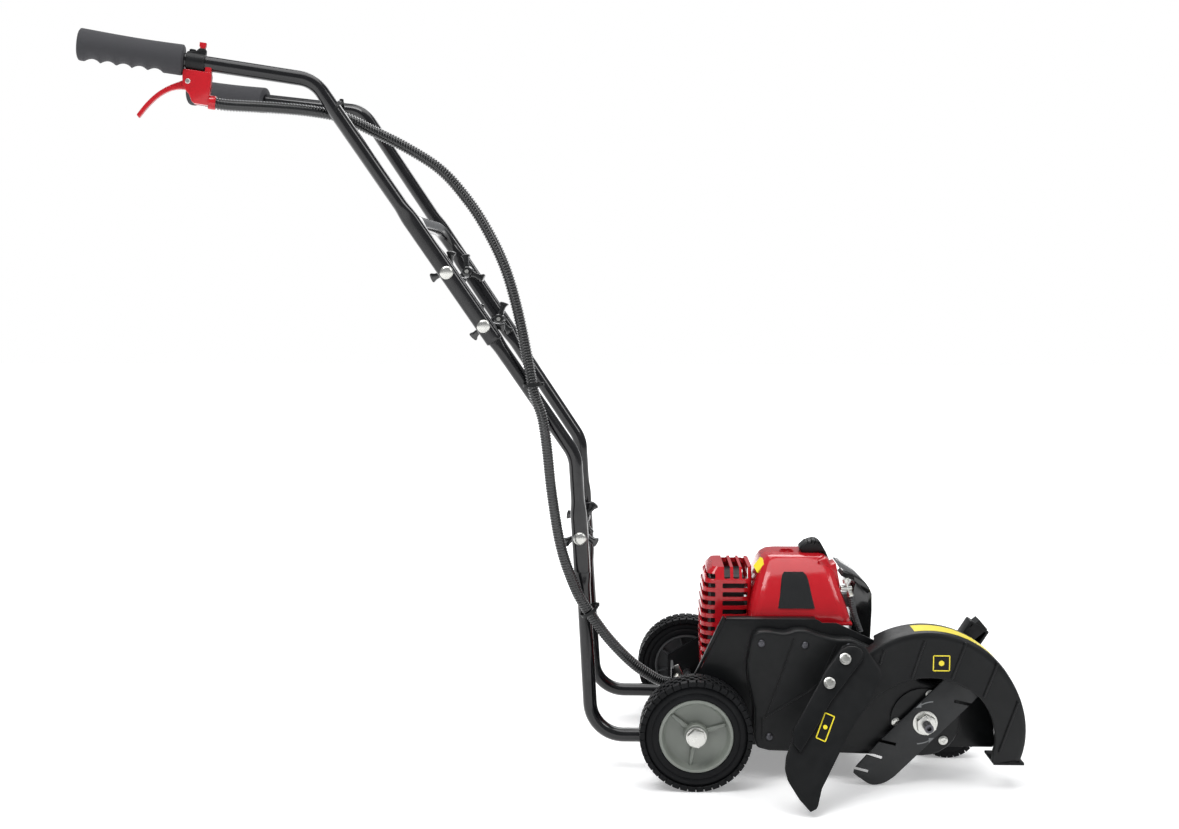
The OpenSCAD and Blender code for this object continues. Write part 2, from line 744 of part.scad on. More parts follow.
module belt_cover() {
    boss_l = 70;
    color("#1a1b1d") difference() {
        union() {
            difference() {
                slab(-plate_out, cover_depth) cover_outline(0);
                slab(-plate_out + 1, cover_depth + 1 - cover_wall) cover_outline(cover_wall);
            }
            for (p = screw_spots) rod(p[0], p[1], 6, -cover_out + 1, -plate_out);
            difference() {
                at_flap_bolts() translate([0, 0, -boss_l]) cylinder(r = 6.5, h = boss_l);
                translate([0, -cover_out + 1, -100]) cube([400, 400, 600]);
            }
        }
        rod(spindle_x, spindle_z, spindle_d / 2 + 5, -200, 0);
        for (p = concat(screw_spots, shield_screws)) rod(p[0], p[1], screw_r, -200, 0);
        at_flap_bolts() translate([0, 0, -40]) cylinder(r = 4, h = 50);
    }
}

// Pan-head screw along local z: bearing face at 0
module pan_screw(l) {
    cylinder(r = 5, h = 2.4);
    translate([0, 0, -l]) cylinder(r = screw_r, h = l + 0.5);
}

module cover_screws() {
    color("#3a3b3d") {
        for (p = screw_spots) translate([p[0], -cover_out, p[1]]) rotate([90, 0, 0]) pan_screw(18);
        for (p = shield_screws) translate([p[0], -shield_out, p[1]]) rotate([90, 0, 0]) pan_screw(5.2);
    }
}

module spindle_shield() {
    color("#161719") difference() {
        rod(spindle_x, spindle_z, 44, -shield_out, -cover_out);
        rod(spindle_x, spindle_z, spindle_d / 2 + 3, -200, 0);
        for (p = shield_screws) rod(p[0], p[1], screw_r, -200, 0);
    }
}

// ---------- deflector flap ----------

// Children, drawn in X and slant height below the top edge, laid on the flap plane
module on_flap(lift, t) translate([0, -flap_top_y, flap_top_z]) rotate([90 - flap_lean, 0, 0])
    translate([0, 0, lift]) linear_extrude(t) children();

module flap_holes() {
    for (p = flap_bolts)
        translate([p[0], -(flap_top_z - p[1]) / cos(flap_lean)]) circle(4 + play);
}

module deflector_flap() {
    color("#1b1c1e") on_flap(0, flap_t) difference() {
        polygon([[210, 0], [220, -2], [240, -30], [243, -40], [240, -52], [216, -88], [198, -112],
            [180, -145], [168, -172], [158, -212], [150, -217], [141, -216], [112, -182],
            [107, -170], [108, -158], [117, -140], [186, -12], [196, -3]]);
        flap_holes();
    }
}

module flap_bar() {
    color("#141517") on_flap(flap_t, bar_t) difference() {
        union() {
            polygon([[124, -154], [135, -158], [226, -13], [207, 2], [199, -6]]);
            translate([214, -9]) circle(12);
        }
        flap_holes();
    }
}

// ---------- guard ----------

module sector(a0, a1, r) {
    polygon(concat([[0, 0]], [for (k = [0:8]) let (a = a0 + (a1 - a0) * k / 8) r * [cos(a), sin(a)]]));
}

module blade_guard() {
    reach = guard_out - plate_out;
    color("#1c1d1f") {
        // front face with the arch cut out
        slab(-guard_out + guard_wall, guard_wall) difference() {
            translate([spindle_x, spindle_z]) intersection() {
                circle(guard_r);
                sector(guard_foot_a, 168, 2 * guard_r);
            }
            translate([spindle_x + 2, spindle_z - 26]) circle(98);
        }
        // rim over the front and top, back to the side plate
        slab(-plate_out, reach) translate([spindle_x, spindle_z]) intersection() {
            ring(guard_r, guard_wall);
            sector(guard_foot_a, 122, 2 * guard_r);
        }
        // shallow rim where it passes the belt cover
        slab(-cover_out - 1, guard_out - cover_out - 1) translate([spindle_x, spindle_z]) intersection() {
            ring(guard_r, guard_wall);
            sector(121, 168, 2 * guard_r);
        }
        // lips of the front end, outside the blade's circle
        translate([spindle_x, 0, spindle_z]) rotate([0, -guard_foot_a, 0]) {
            translate([guard_r - guard_wall + 0.5, -guard_out + 1, -3]) cube([9, reach - 2, 3.5]);
            translate([guard_r - 30, -guard_out + 1, -3]) cube([28, 8, 3.5]);
        }
    }
}

// ---------- spindle and blade ----------

module bearing_housing() {
    color("#55585a") turned(spindle_x, spindle_z) polygon([[spindle_d / 2 + 3, -plate_half],
        [38, -plate_half], [38, -plate_half + 6], [24, -plate_half + 6], [24, -62],
        [bearing_r, -62], [bearing_r, -plate_half + 4], [spindle_d / 2 + 3, -plate_half + 4]]);
}

module spindle_bearings() {
    color("#b9bbbd") for (y = [-plate_half + 4, -74]) turned(spindle_x, spindle_z)
        translate([spindle_d / 2 + play, y]) square([bearing_r - spindle_d / 2 - play, 11]);
}

module spindle_shaft() {
    color("#8a8d90") difference() {
        union() {
            rod(spindle_x, spindle_z, spindle_d / 2, -blade_in, -60);
            rod(spindle_x, spindle_z, thread_d / 2, -shaft_end, -blade_in + 1);
        }
        translate([spindle_x, -shaft_end + 6, spindle_z]) rotate([90, 0, 0])
            cylinder(d = 7, h = 10, $fn = 6);
    }
}

module blade_outline() {
    l = blade_l / 2;
    w = blade_w / 2;
    difference() {
        polygon([[-l, w - 4], [-l + 4, w], [l - 30, w], [l - 8, w * 0.55], [l - 1, 0], [l, -w + 4], [l - 4, -w],
            [-l + 30, -w], [-l + 8, -w * 0.55], [-l + 1, 0]]);
        for (e = [0, 180]) rotate(e) for (k = [0:2]) translate([-l + 14 + 17 * k, w + 1]) rotate(-60)
            translate([0, -2]) square([16, 4]);
        circle(thread_d / 2);
    }
}

module blade() {
    color("#2c2d2f") translate([spindle_x, -blade_in, spindle_z]) rotate([90, 0, 0])
        linear_extrude(blade_t) rotate(blade_angle) blade_outline();
}

module blade_nut() {
    color("#cfd1d2") difference() {
        translate([spindle_x, -blade_out, spindle_z]) rotate([90, 0, 0]) {
            cylinder(r = 15.5, h = 3);
            rotate(20) cylinder(d = 25, h = nut_h, $fn = 6);
        }
        rod(spindle_x, spindle_z, thread_d / 2, -200, 0);
    }
}

// ---------- engine ----------

module crankshaft() {
    color("#8a8d90") {
        rod(crank_x, crank_z, crank_d / 2, -100, 62);
        rod(crank_x, crank_z, 34, -107, -94);
        rod(crank_x, crank_z, 24, -24, -14);
        rod(crank_x, crank_z, 45, 44, 57);
    }
}

module engine_block() {
    color("#5a5d60") difference() {
        union() {
            translate([100, block_y0, deck_top]) cube([70, block_y1 - block_y0, 166 - deck_top]);
            translate([106, -48, 165]) cube([58, 66, 14]);
            for (k = [0:6]) translate([106, -48, 182 + 11 * k]) cube([58, 66, 4]);
            translate([crank_x, -15, 165]) cylinder(r = 24, h = 92);
            translate([crank_x, -15, 165]) cylinder(r = 8, h = 98);
            translate([100, -29, 196]) cube([20, 28, 28]);
            translate([150, -29, 206]) cube([20, 28, 28]);
        }
        rod(crank_x, crank_z, crank_d / 2 + play, -200, 100);
        rod(crank_x, crank_z, 27, -27, -11);
        translate([crank_x, -15, 130]) cylinder(r = 17, h = 108);
    }
}

module cover_side(i) {
    polygon([[78 + i, 203 - i], [80 + i, 232], [99 + 0.9 * i, cover_top_z - i],
        [188 - 0.9 * i, cover_top_z - i], [214 - i, 203 - i]]);
}

module top_cover() {
    t = shroud_wall;
    color("#c31820") difference() {
        slab(58, 153) cover_side(0);
        slab(58 - t, 153 - 2 * t) cover_side(t);
        translate([70, -92, 195]) cube([150, 147, 9]);
        translate([180, -35, 198]) cube([50, 50, 56]);
        translate([70, -60, 203 - 5]) cube([20, 110, 82]);
        translate([crank_x + 34, -15, cover_top_z - 20]) cylinder(r = 9.5, h = 30);
        translate([crank_x - 8, -58, cover_top_z - 20]) cylinder(r = 9, h = 30);
    }
}

module exhaust_side(i) {
    polygon([[14 + i, 118 - i], [20 + i, 255], [30 + i, 283 - i], [76 + i, 283 - i], [76 + i, 118 - i]]);
}

module exhaust_guard() {
    t = shroud_wall - 0.5;
    color("#c31820") difference() {
        slab(38, 100) exhaust_side(0);
        slab(38 - t, 100 - 2 * t) exhaust_side(t);
        for (k = [0:7]) translate([34, -70, 136 + 15 * k]) cube([34, 120, 8]);
        for (k = [0:8]) translate([5, -48, 132 + 14 * k]) cube([20, 74, 7]);
        for (k = [0:2]) translate([36 + 13 * k, -52, 250]) cube([8, 80, 40]);
    }
}

module muffler() {
    color("#2a2a2b") {
        translate([26, -44, 140]) cube([46, 76, 118]);
        translate([72, -15, 210]) rotate([0, 90, 0]) cylinder(r = 11, h = 28);
    }
}

module starter_housing() {
    color("#1c1d1f") difference() {
        union() {
            rod(crank_x, crank_z, 62, block_y1, 95);
            translate([crank_x + 28, 66, crank_z + 40]) cube([24, 24, 26]);
        }
        rod(crank_x, crank_z, 58, block_y1 - 1, 92);
        translate([crank_x + 40, 78, 150]) cylinder(r = 4, h = 60);
        for (a = [0:30:330]) rod(crank_x + 40 * cos(a), crank_z + 40 * sin(a), 5, 80, 100);
    }
}

module starter_handle() {
    color("#18191b") translate([crank_x + 40, 78, crank_z + 66 + gap]) {
        translate([0, 0, -26]) cylinder(r = 2, h = 27);
        translate([-20, -7, 0]) cube([40, 14, 14]);
    }
}

module plug_boot() {
    color("#1f2022") difference() {
        union() {
            translate([crank_x + 34, -15, 262]) cylinder(r = 8, h = 44);
            translate([crank_x + 8, -30, cover_top_z + 0.2]) cube([46, 30, 15]);
        }
        translate([crank_x + 34, -15, 261]) cylinder(r = 4, h = 30);
    }
}

module carburettor() {
    color("#a7a9ab") difference() {
        union() {
            translate([170, -28, 208]) cube([30, 26, 26]);
            translate([200, -24, 212]) cube([22, 18, 18]);
            translate([210, -15, 222]) rotate([90, 0, 0]) cylinder(r = 5, h = 18);
        }
        translate([160, -15, 221]) rotate([0, 90, 0]) cylinder(r = 6, h = 70);
    }
}

module air_cleaner() {
    color("#202124") slab(40, 92) polygon([[222, 166], [222, 244], [230, 257], [247, 252],
        [258, 240], [258, 166]]);
}

module fuel_tank() {
    color("#d8d8d2") difference() {
        union() {
            translate([178, -62, deck_top]) cube([66, 100, 76]);
            rod(220, 112, 14, 37, 54);
        }
        translate([181, -59, deck_top + 3]) cube([60, 94, 70]);
        rod(220, 112, 10, 30, 51);
    }
}

upper_tube_right();
upper_tube_left();
grip_right();
grip_left();
middle_handle();
upper_joint_bolts();
knob_right_front();
knob_right_rear();
knob_left_front();
knob_left_rear();
throttle_clamp();
throttle_housing();
throttle_lever();
stop_switch();
conduit_upper();
conduit_lower();
lower_tube_right();
lower_tube_left();
fold_bolts();
knob_fold_right();
knob_fold_left();
side_plate_right();
side_plate_left();
engine_deck();
flange_bolts();
rear_axle();
tyre_right();
hub_right();
tyre_left();
hub_left();
wheel_bolts();
front_pivot();
front_arm();
front_tyre();
front_hub();
belt_cover();
cover_screws();
deflector_flap();
flap_bar();
blade_guard();
spindle_shield();
bearing_housing();
spindle_bearings();
spindle_shaft();
driven_pulley();
drive_belt();
clutch_drum();
blade();
blade_nut();
crankshaft();
engine_block();
top_cover();
exhaust_guard();
muffler();
starter_housing();
starter_handle();
plug_boot();
carburettor();
air_cleaner();
fuel_tank();
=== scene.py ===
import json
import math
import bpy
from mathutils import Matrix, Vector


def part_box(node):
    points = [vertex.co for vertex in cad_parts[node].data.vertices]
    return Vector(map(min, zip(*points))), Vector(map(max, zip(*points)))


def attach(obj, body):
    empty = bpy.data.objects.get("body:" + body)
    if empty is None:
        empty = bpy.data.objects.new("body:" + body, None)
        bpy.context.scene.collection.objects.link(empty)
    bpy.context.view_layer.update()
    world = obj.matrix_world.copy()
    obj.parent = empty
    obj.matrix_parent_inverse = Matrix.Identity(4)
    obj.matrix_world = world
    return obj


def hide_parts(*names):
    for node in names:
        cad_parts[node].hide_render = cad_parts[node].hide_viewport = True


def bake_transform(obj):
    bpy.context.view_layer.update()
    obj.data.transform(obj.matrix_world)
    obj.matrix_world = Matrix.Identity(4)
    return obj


bl_info = {
    "name": "Lawn Edger Looks",
    "version": (1, 0, 0),
    "blender": (4, 5, 0),
    "location": "View3D > Sidebar > Lawn Edger",
    "description": "Builds the finished pieces of a petrol lawn edger around its packed frame",
    "category": "Object",
}

import bmesh
import bpy
from bpy.props import FloatProperty, FloatVectorProperty, IntProperty, PointerProperty
from mathutils import Matrix, Quaternion, Vector

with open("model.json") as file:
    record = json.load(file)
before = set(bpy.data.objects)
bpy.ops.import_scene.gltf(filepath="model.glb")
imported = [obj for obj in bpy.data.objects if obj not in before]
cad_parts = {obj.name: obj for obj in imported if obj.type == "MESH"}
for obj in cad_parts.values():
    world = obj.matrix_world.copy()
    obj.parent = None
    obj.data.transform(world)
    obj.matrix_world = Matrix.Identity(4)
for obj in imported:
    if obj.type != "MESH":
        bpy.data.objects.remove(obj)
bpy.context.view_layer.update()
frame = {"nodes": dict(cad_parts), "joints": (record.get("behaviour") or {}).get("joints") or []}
MM = 0.001
MERGE = 1e-6
RIGHT, LEFT = -1, 1
SIDES = ((RIGHT, "right"), (LEFT, "left"))
JOINTS = {j["name"]: j for j in frame["joints"]}

# ---------- places, in millimetres, worked out from the frame's joints ----------


def joint_at(name):
    return Vector(JOINTS[name]["pos_m"]) / MM


def joint_axis(name):
    return Vector(JOINTS[name]["axis"]).normalized()


FOLD = joint_at("handle_fold")
LEG_BOLT = joint_at("knob_left_front_turn")
LEG_DIR = (joint_at("knob_left_rear_turn") - LEG_BOLT).normalized()
LEG_OUT = joint_axis("knob_left_front_turn")
BOLT_L = 215
BOLT_PITCH = 85
KNOB_DEPTH = 30
STACK = 16.6
BEND_L = 596
CROSS_L = 378
POST_LEAN = math.radians(3.4)
RUN_RISE = math.radians(7.5)
RUN_SPLAY = math.radians(11.5)
RUN_L = 288
LEG_HALF = 98
TUBE_D = 19
FLAT_W = 22.5
FLAT_T = 14
SPINDLE = joint_at("blade_spin")
CRANK = joint_at("crankshaft_spin")
FLAP_LEAN = math.radians(27.5)
FLAP_TOP = Vector((0, -168, 198))
FLAP_DOWN = Vector((0, -math.sin(FLAP_LEAN), -math.cos(FLAP_LEAN)))
FLAP_OUT = Vector((0, -math.cos(FLAP_LEAN), math.sin(FLAP_LEAN)))
UP = Vector((0, 0, 1))
NEAR = Vector((0, -1, 0))
WHEEL_R = 75
WHEEL_Y = 167
RUN_DIR = Vector((-math.cos(RUN_RISE) * math.cos(RUN_SPLAY),
                  math.cos(RUN_RISE) * math.sin(RUN_SPLAY), math.sin(RUN_RISE)))
RUN_UP = (UP - RUN_DIR.z * RUN_DIR).normalized()


def mirrored(side, point):
    return Vector((point[0], side * point[1], point[2]))


def on_leg(length):
    return LEG_BOLT + KNOB_DEPTH * LEG_OUT + (length - BOLT_L) * LEG_DIR


def on_post(z, y):
    return Vector((FOLD.x - (z - FOLD.z) * math.tan(POST_LEAN), y, z))


BEND = on_leg(BEND_L) + STACK * LEG_OUT


def on_run(along, above=0.0):
    return BEND + along * RUN_DIR + above * RUN_UP


def throttle_place(along, above, across):
    """Point beside the right rear run: along it, above its middle line and outward."""
    point = mirrored(RIGHT, on_run(along, above))
    outward = mirrored(RIGHT, RUN_UP.cross(RUN_DIR)) * -1
    return point + across * outward


def side_plane(x, z, out):
    """Point in the X-Z plane at a distance out to the machine's right."""
    return Vector((x, -out, z))


def upright_plane(x, z, y):
    return Vector((x, y, z))


def flap_plane(x, drop, lift):
    """Point on the deflector flap: drop is measured up the slant, below zero."""
    curl = 0.0007 * max(0.0, x - 122 - 0.62 * (drop + 217)) ** 2
    return FLAP_TOP + Vector((x, 0, 0)) - drop * FLAP_DOWN + (lift - min(curl, 5.0)) * FLAP_OUT


# ---------- mesh tools ----------


def new_object(name, verts, faces):
    """Mesh object from points in millimetres, closed and facing outwards."""
    mesh = bpy.data.meshes.new(name)
    mesh.from_pydata([Vector(v) * MM for v in verts], [], faces)
    obj = bpy.data.objects.new(name, mesh)
    bpy.context.scene.collection.objects.link(obj)
    tidy_normals(obj)
    return obj


def tidy_normals(obj):
    bm = bmesh.new()
    bm.from_mesh(obj.data)
    bmesh.ops.remove_doubles(bm, verts=bm.verts, dist=MERGE)
    bmesh.ops.dissolve_degenerate(bm, edges=bm.edges, dist=MERGE)
    bmesh.ops.recalc_face_normals(bm, faces=bm.faces)
    bm.to_mesh(obj.data)
    bm.free()


def bake(obj):
    """Turns the modifiers' result into the object's plain mesh."""
    graph = bpy.context.evaluated_depsgraph_get()
    mesh = bpy.data.meshes.new_from_object(obj.evaluated_get(graph))
    old = obj.data
    obj.modifiers.clear()
    if obj.type == "MESH":
        obj.data = mesh
        bpy.data.meshes.remove(old)
        return obj
    plain = bpy.data.objects.new(obj.name + "_mesh", mesh)
    bpy.context.scene.collection.objects.link(plain)
    bpy.data.objects.remove(obj)
    return plain


def bevelled(obj, width, segments=2, angle=35):
    if width:
        mod = obj.modifiers.new("edges", "BEVEL")
        mod.width = width * MM
        mod.segments = segments
        mod.limit_method = "ANGLE"
        mod.angle_limit = math.radians(angle)
        bake(obj)
    return obj


def loft(name, rings, cap=True):
    """Skin over rings with equal numbers of points."""
    n = len(rings[0])
    faces = [(i * n + k, i * n + (k + 1) % n, (i + 1) * n + (k + 1) % n, (i + 1) * n + k)
             for i in range(len(rings) - 1) for k in range(n)]
    if cap:
        faces += [tuple(range(n)), tuple(range((len(rings) - 1) * n, len(rings) * n))]
    return new_object(name, [p for ring in rings for p in ring], faces)


def extruded(name, outline, place, low, high, edge=0.0, segments=2):
    """Plate with an outline, laid by place(u, v, w) between two levels of w."""
    rings = [[place(u, v, w) for u, v in outline] for w in (low, high)]
    return bevelled(loft(name, rings), edge, segments)


def lathe(name, profile, centre, axis, steps=64):
    """Closed solid of revolution: profile is a loop of (radius, height along axis)."""
    turn = UP.rotation_difference(Vector(axis))
    rings = [[Vector(centre) + turn @ Vector((r * math.cos(a), r * math.sin(a), h))
              for r, h in profile]
             for a in (2 * math.pi * k / steps for k in range(steps))]
    n = len(profile)
    faces = [(i * n + k, i * n + (k + 1) % n, ((i + 1) % steps) * n + (k + 1) % n,
              ((i + 1) % steps) * n + k) for i in range(steps) for k in range(n)]
    return new_object(name, [p for ring in rings for p in ring], faces)


def rod(name, radius, low, high, centre, axis, steps):
    """Plain cylinder between two heights along its axis, for bores and holes."""
    profile = [(0, low), (radius, low), (radius, high), (0, high)]
    return lathe(name, profile, centre, axis, steps)


def spindle_bore(low, high):
    return rod("bore", 6.1, low, high, (SPINDLE.x, 0, SPINDLE.z), NEAR, 32)


def rounded(corners, radius):
    """Route through corner points, with an arc in each inner corner."""
    points = [corners[0]]
    for a, b, c in zip(corners, corners[1:], corners[2:]):
        d1, d2 = (b - a).normalized(), (c - b).normalized()
        turn = d1.angle(d2)
        centre = b + (d2 - d1).normalized() * radius / math.cos(turn / 2)
        start = b - d1 * radius * math.tan(turn / 2) - centre
        axis = d1.cross(d2).normalized()
        count = max(3, round(math.degrees(turn) / 5))
        points += [centre + Quaternion(axis, turn * i / count) @ start for i in range(count + 1)]
    points.append(corners[-1])
    return points


def stepped(points, step):
    """The same route with its long stretches divided."""
    result = [points[0]]
    for a, b in zip(points, points[1:]):
        count = max(1, math.ceil((b - a).length / step))
        result += [a.lerp(b, i / count) for i in range(1, count + 1)]
    return result


def sweep(name, points, wide, section, sides=24):
    """Tube along a route; section(distance) gives its width along wide and its thickness."""
    rings = []
    reach = 0.0
    before = (points[1] - points[0]).normalized()
    for i, point in enumerate(points):
        ahead = (points[min(i + 1, len(points) - 1)] - points[max(i - 1, 0)]).normalized()
        wide = before.rotation_difference(ahead) @ wide
        before = ahead
        thin = ahead.cross(wide).normalized()
        if i:
            reach += (point - points[i - 1]).length
        w, t = section(reach)
        ring = []
        for k in range(sides):
            a = 2 * math.pi * (k + 0.5) / sides
            spread = math.copysign((w - t) / 2, math.cos(a)) + t / 2 * math.cos(a)
            ring.append(point + spread * wide + t / 2 * math.sin(a) * thin)
        rings.append(ring)
    return loft(name, rings)


def joined(name, objects):
    """One mesh object from several, which are removed."""
    bm = bmesh.new()
    for obj in objects:
        bm.from_mesh(obj.data)
    mesh = bpy.data.meshes.new(name)
    bm.to_mesh(mesh)
    bm.free()
    for obj in objects:
        bpy.data.objects.remove(obj)
    result = bpy.data.objects.new(name, mesh)
    bpy.context.scene.collection.objects.link(result)
    return result


def carved(obj, cutters):
    """Cuts closed shapes out of a piece."""
    tool = joined(obj.name + "_cutters", cutters)
    mod = obj.modifiers.new("cuts", "BOOLEAN")
    mod.operation = "DIFFERENCE"
    mod.solver = "EXACT"
    mod.use_self = True
    mod.object = tool
    bake(obj)
    bpy.data.objects.remove(tool)
    return obj


def block(name, low, high, edge=0.0):
    outline = [(low[0], low[2]), (high[0], low[2]), (high[0], high[2]), (low[0], high[2])]
    return extruded(name, outline, upright_plane, low[1], high[1], edge)


def turned_block(name, centre, size, angle, edge=0.0):
    """Box turned about Y, for slanted slots and ribs."""
    half = Vector(size) / 2
    turn = Matrix.Rotation(angle, 3, "Y")
    outline = [(-half.x, -half.z), (half.x, -half.z), (half.x, half.z), (-half.x, half.z)]

    def place(u, v, w):
        return Vector(centre) + turn @ Vector((u, w, v))

    return extruded(name, outline, place, -half.y, half.y, edge)


def strip(points, width):
    """Closed outline of a line of constant width through 2-D points."""
    left, right = [], []
    for i, (x, y) in enumerate(points):
        ax, ay = points[max(i - 1, 0)]
        bx, by = points[min(i + 1, len(points) - 1)]
        length = math.hypot(bx - ax, by - ay)
        nx, ny = -(by - ay) / length * width / 2, (bx - ax) / length * width / 2
        left.append((x + nx, y + ny))
        right.append((x - nx, y - ny))
    return left + right[::-1]


def between(table, x):
    """Value at x, on straight lines between the rows of a table."""
    for (x0, y0), (x1, y1) in zip(table, table[1:]):
        if x <= x1:
            return y0 + (y1 - y0) * (x - x0) / (x1 - x0)
    return table[-1][1]


def arc(centre, radius, start, end, steps):
    return [(centre[0] + radius * math.cos(math.radians(start + (end - start) * i / steps)),
             centre[1] + radius * math.sin(math.radians(start + (end - start) * i / steps)))
            for i in range(steps + 1)]


def done(obj, body, material, replaced=(), smooth=32):
    """Gives a piece its finish and body, and hides the CAD nodes it stands for."""
    obj.data.materials.clear()
    obj.data.materials.append(bpy.data.materials[material])
    obj.data.shade_smooth()
    obj.data.set_sharp_from_angle(angle=math.radians(smooth))
    if replaced:
        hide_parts(*replaced)
    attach(obj, body)
    return obj


# ---------- geometry node trees ----------


def node_tree(name, inputs):
    tree = bpy.data.node_groups.new(name, "GeometryNodeTree")
    tree.interface.new_socket("Geometry", in_out="INPUT", socket_type="NodeSocketGeometry")
    for label, kind in inputs:
        tree.interface.new_socket(label, in_out="INPUT", socket_type=kind)
    tree.interface.new_socket("Geometry", in_out="OUTPUT", socket_type="NodeSocketGeometry")
    return tree, tree.nodes.new("NodeGroupInput"), tree.nodes.new("NodeGroupOutput")


def attribute(tree, name):
    node = tree.nodes.new("GeometryNodeInputNamedAttribute")
    node.data_type = "FLOAT_VECTOR"
    node.inputs["Name"].default_value = name
    return node.outputs["Attribute"]


def aligned(tree, axis, vector, pivot="AUTO", rotation=None):
    node = tree.nodes.new("FunctionNodeAlignRotationToVector")
    node.axis = axis
    node.pivot_axis = pivot
    tree.links.new(vector, node.inputs["Vector"])
    if rotation is not None:
        tree.links.new(rotation, node.inputs["Rotation"])
    return node.outputs["Rotation"]


def repeat_tree():
    """Puts a copy of one part on every point, with its Z along aim and its X along side."""
    if "repeat_on_points" in bpy.data.node_groups:
        return bpy.data.node_groups["repeat_on_points"]
    tree, start, end = node_tree("repeat_on_points", (
        ("Part", "NodeSocketObject"), ("Scale", "NodeSocketFloat"), ("Finish", "NodeSocketMaterial")))
    link = tree.links.new
    part = tree.nodes.new("GeometryNodeObjectInfo")
    copies = tree.nodes.new("GeometryNodeInstanceOnPoints")
    plain = tree.nodes.new("GeometryNodeRealizeInstances")
    finish = tree.nodes.new("GeometryNodeSetMaterial")
    aim = aligned(tree, "Z", attribute(tree, "aim"))
    turn = aligned(tree, "X", attribute(tree, "side"), "Z", aim)
    link(start.outputs["Geometry"], copies.inputs["Points"])
    link(start.outputs["Part"], part.inputs["Object"])
    link(part.outputs["Geometry"], copies.inputs["Instance"])
    link(turn, copies.inputs["Rotation"])
    link(start.outputs["Scale"], copies.inputs["Scale"])
    link(copies.outputs["Instances"], plain.inputs["Geometry"])
    link(plain.outputs["Geometry"], finish.inputs["Geometry"])
    link(start.outputs["Finish"], finish.inputs["Material"])
    link(finish.outputs["Geometry"], end.inputs["Geometry"])
    return tree


def ribbed_tree():
    """Corrugated sleeve along a curve: a thin core with a round rib at every pitch."""
    if "ribbed_sleeve" in bpy.data.node_groups:
        return bpy.data.node_groups["ribbed_sleeve"]
    tree, start, end = node_tree("ribbed_sleeve", (
        ("Pitch", "NodeSocketFloat"), ("Radius", "NodeSocketFloat"), ("Rib", "NodeSocketFloat"),
        ("Finish", "NodeSocketMaterial")))
    link = tree.links.new
    new = tree.nodes.new
    spaced = new("GeometryNodeResampleCurve")
    spaced.mode = "LENGTH"
    round_big, round_small, core_ring = (new("GeometryNodeCurvePrimitiveCircle") for _ in range(3))
    for circle, sides in ((round_big, 16), (round_small, 6), (core_ring, 16)):
        circle.inputs["Resolution"].default_value = sides
    rib = new("GeometryNodeCurveToMesh")
    copies = new("GeometryNodeInstanceOnPoints")
    plain = new("GeometryNodeRealizeInstances")
    core = new("GeometryNodeCurveToMesh")
    core.inputs["Fill Caps"].default_value = True
    inner = new("ShaderNodeMath")
    inner.operation = "SUBTRACT"
    both = new("GeometryNodeJoinGeometry")
    finish = new("GeometryNodeSetMaterial")
    tangent = new("GeometryNodeInputTangent")
    link(start.outputs["Geometry"], spaced.inputs["Curve"])
    link(start.outputs["Pitch"], spaced.inputs["Length"])
    link(start.outputs["Radius"], inner.inputs[0])
    link(start.outputs["Rib"], inner.inputs[1])
    link(inner.outputs[0], round_big.inputs["Radius"])
    link(start.outputs["Rib"], round_small.inputs["Radius"])
    link(round_big.outputs["Curve"], rib.inputs["Curve"])
    link(round_small.outputs["Curve"], rib.inputs["Profile Curve"])
    link(spaced.outputs["Curve"], copies.inputs["Points"])
    link(rib.outputs["Mesh"], copies.inputs["Instance"])
    link(aligned(tree, "Z", tangent.outputs["Tangent"]), copies.inputs["Rotation"])
    link(copies.outputs["Instances"], plain.inputs["Geometry"])
    link(inner.outputs[0], core_ring.inputs["Radius"])
    link(spaced.outputs["Curve"], core.inputs["Curve"])
    link(core_ring.outputs["Curve"], core.inputs["Profile Curve"])
    link(core.outputs["Mesh"], both.inputs["Geometry"])
    link(plain.outputs["Geometry"], both.inputs["Geometry"])
    link(both.outputs["Geometry"], finish.inputs["Geometry"])
    link(start.outputs["Finish"], finish.inputs["Material"])
    link(finish.outputs["Geometry"], end.inputs["Geometry"])
    return tree


def with_tree(obj, tree, values):
    """Adds a node modifier, sets its inputs by identifier and bakes it."""
    mod = obj.modifiers.new(tree.name, "NODES")
    mod.node_group = tree
    for item in tree.interface.items_tree:
        if item.in_out == "INPUT" and item.name in values:
            mod[item.identifier] = values[item.name]
    return bake(obj)


def repeated(name, part, places, material, scale=1.0):
    """Copies of a part at (point, aim, side), as one plain mesh; the part is removed."""
    mesh = bpy.data.meshes.new(name)
    mesh.from_pydata([Vector(p[0]) * MM for p in places], [], [])
    for index, label in ((1, "aim"), (2, "side")):
        data = mesh.attributes.new(label, "FLOAT_VECTOR", "POINT").data
        for row, place in zip(data, places):
            row.vector = Vector(place[index]).normalized()
    points = bpy.data.objects.new(name, mesh)
    bpy.context.scene.collection.objects.link(points)
    with_tree(points, repeat_tree(), {
        "Part": part, "Scale": scale, "Finish": bpy.data.materials[material]})
    bpy.data.objects.remove(part)
    return points


def ribbed(name, route, radius, pitch, rib, material):
    """Corrugated sleeve through a route's points."""
    curve = bpy.data.curves.new(name, "CURVE")
    curve.dimensions = "3D"
    spline = curve.splines.new("POLY")
    spline.points.add(len(route) - 1)
    for point, place in zip(spline.points, route):
        point.co = (*(place * MM), 1)
    path = bpy.data.objects.new(name + "_route", curve)
    bpy.context.scene.collection.objects.link(path)
    sleeve = with_tree(path, ribbed_tree(), {
        "Pitch": pitch * MM, "Radius": radius * MM, "Rib": rib * MM,
        "Finish": bpy.data.materials[material]})
    sleeve.name = name
    return sleeve


# ---------- finishes ----------

ROUGH_SPREAD = 0.06


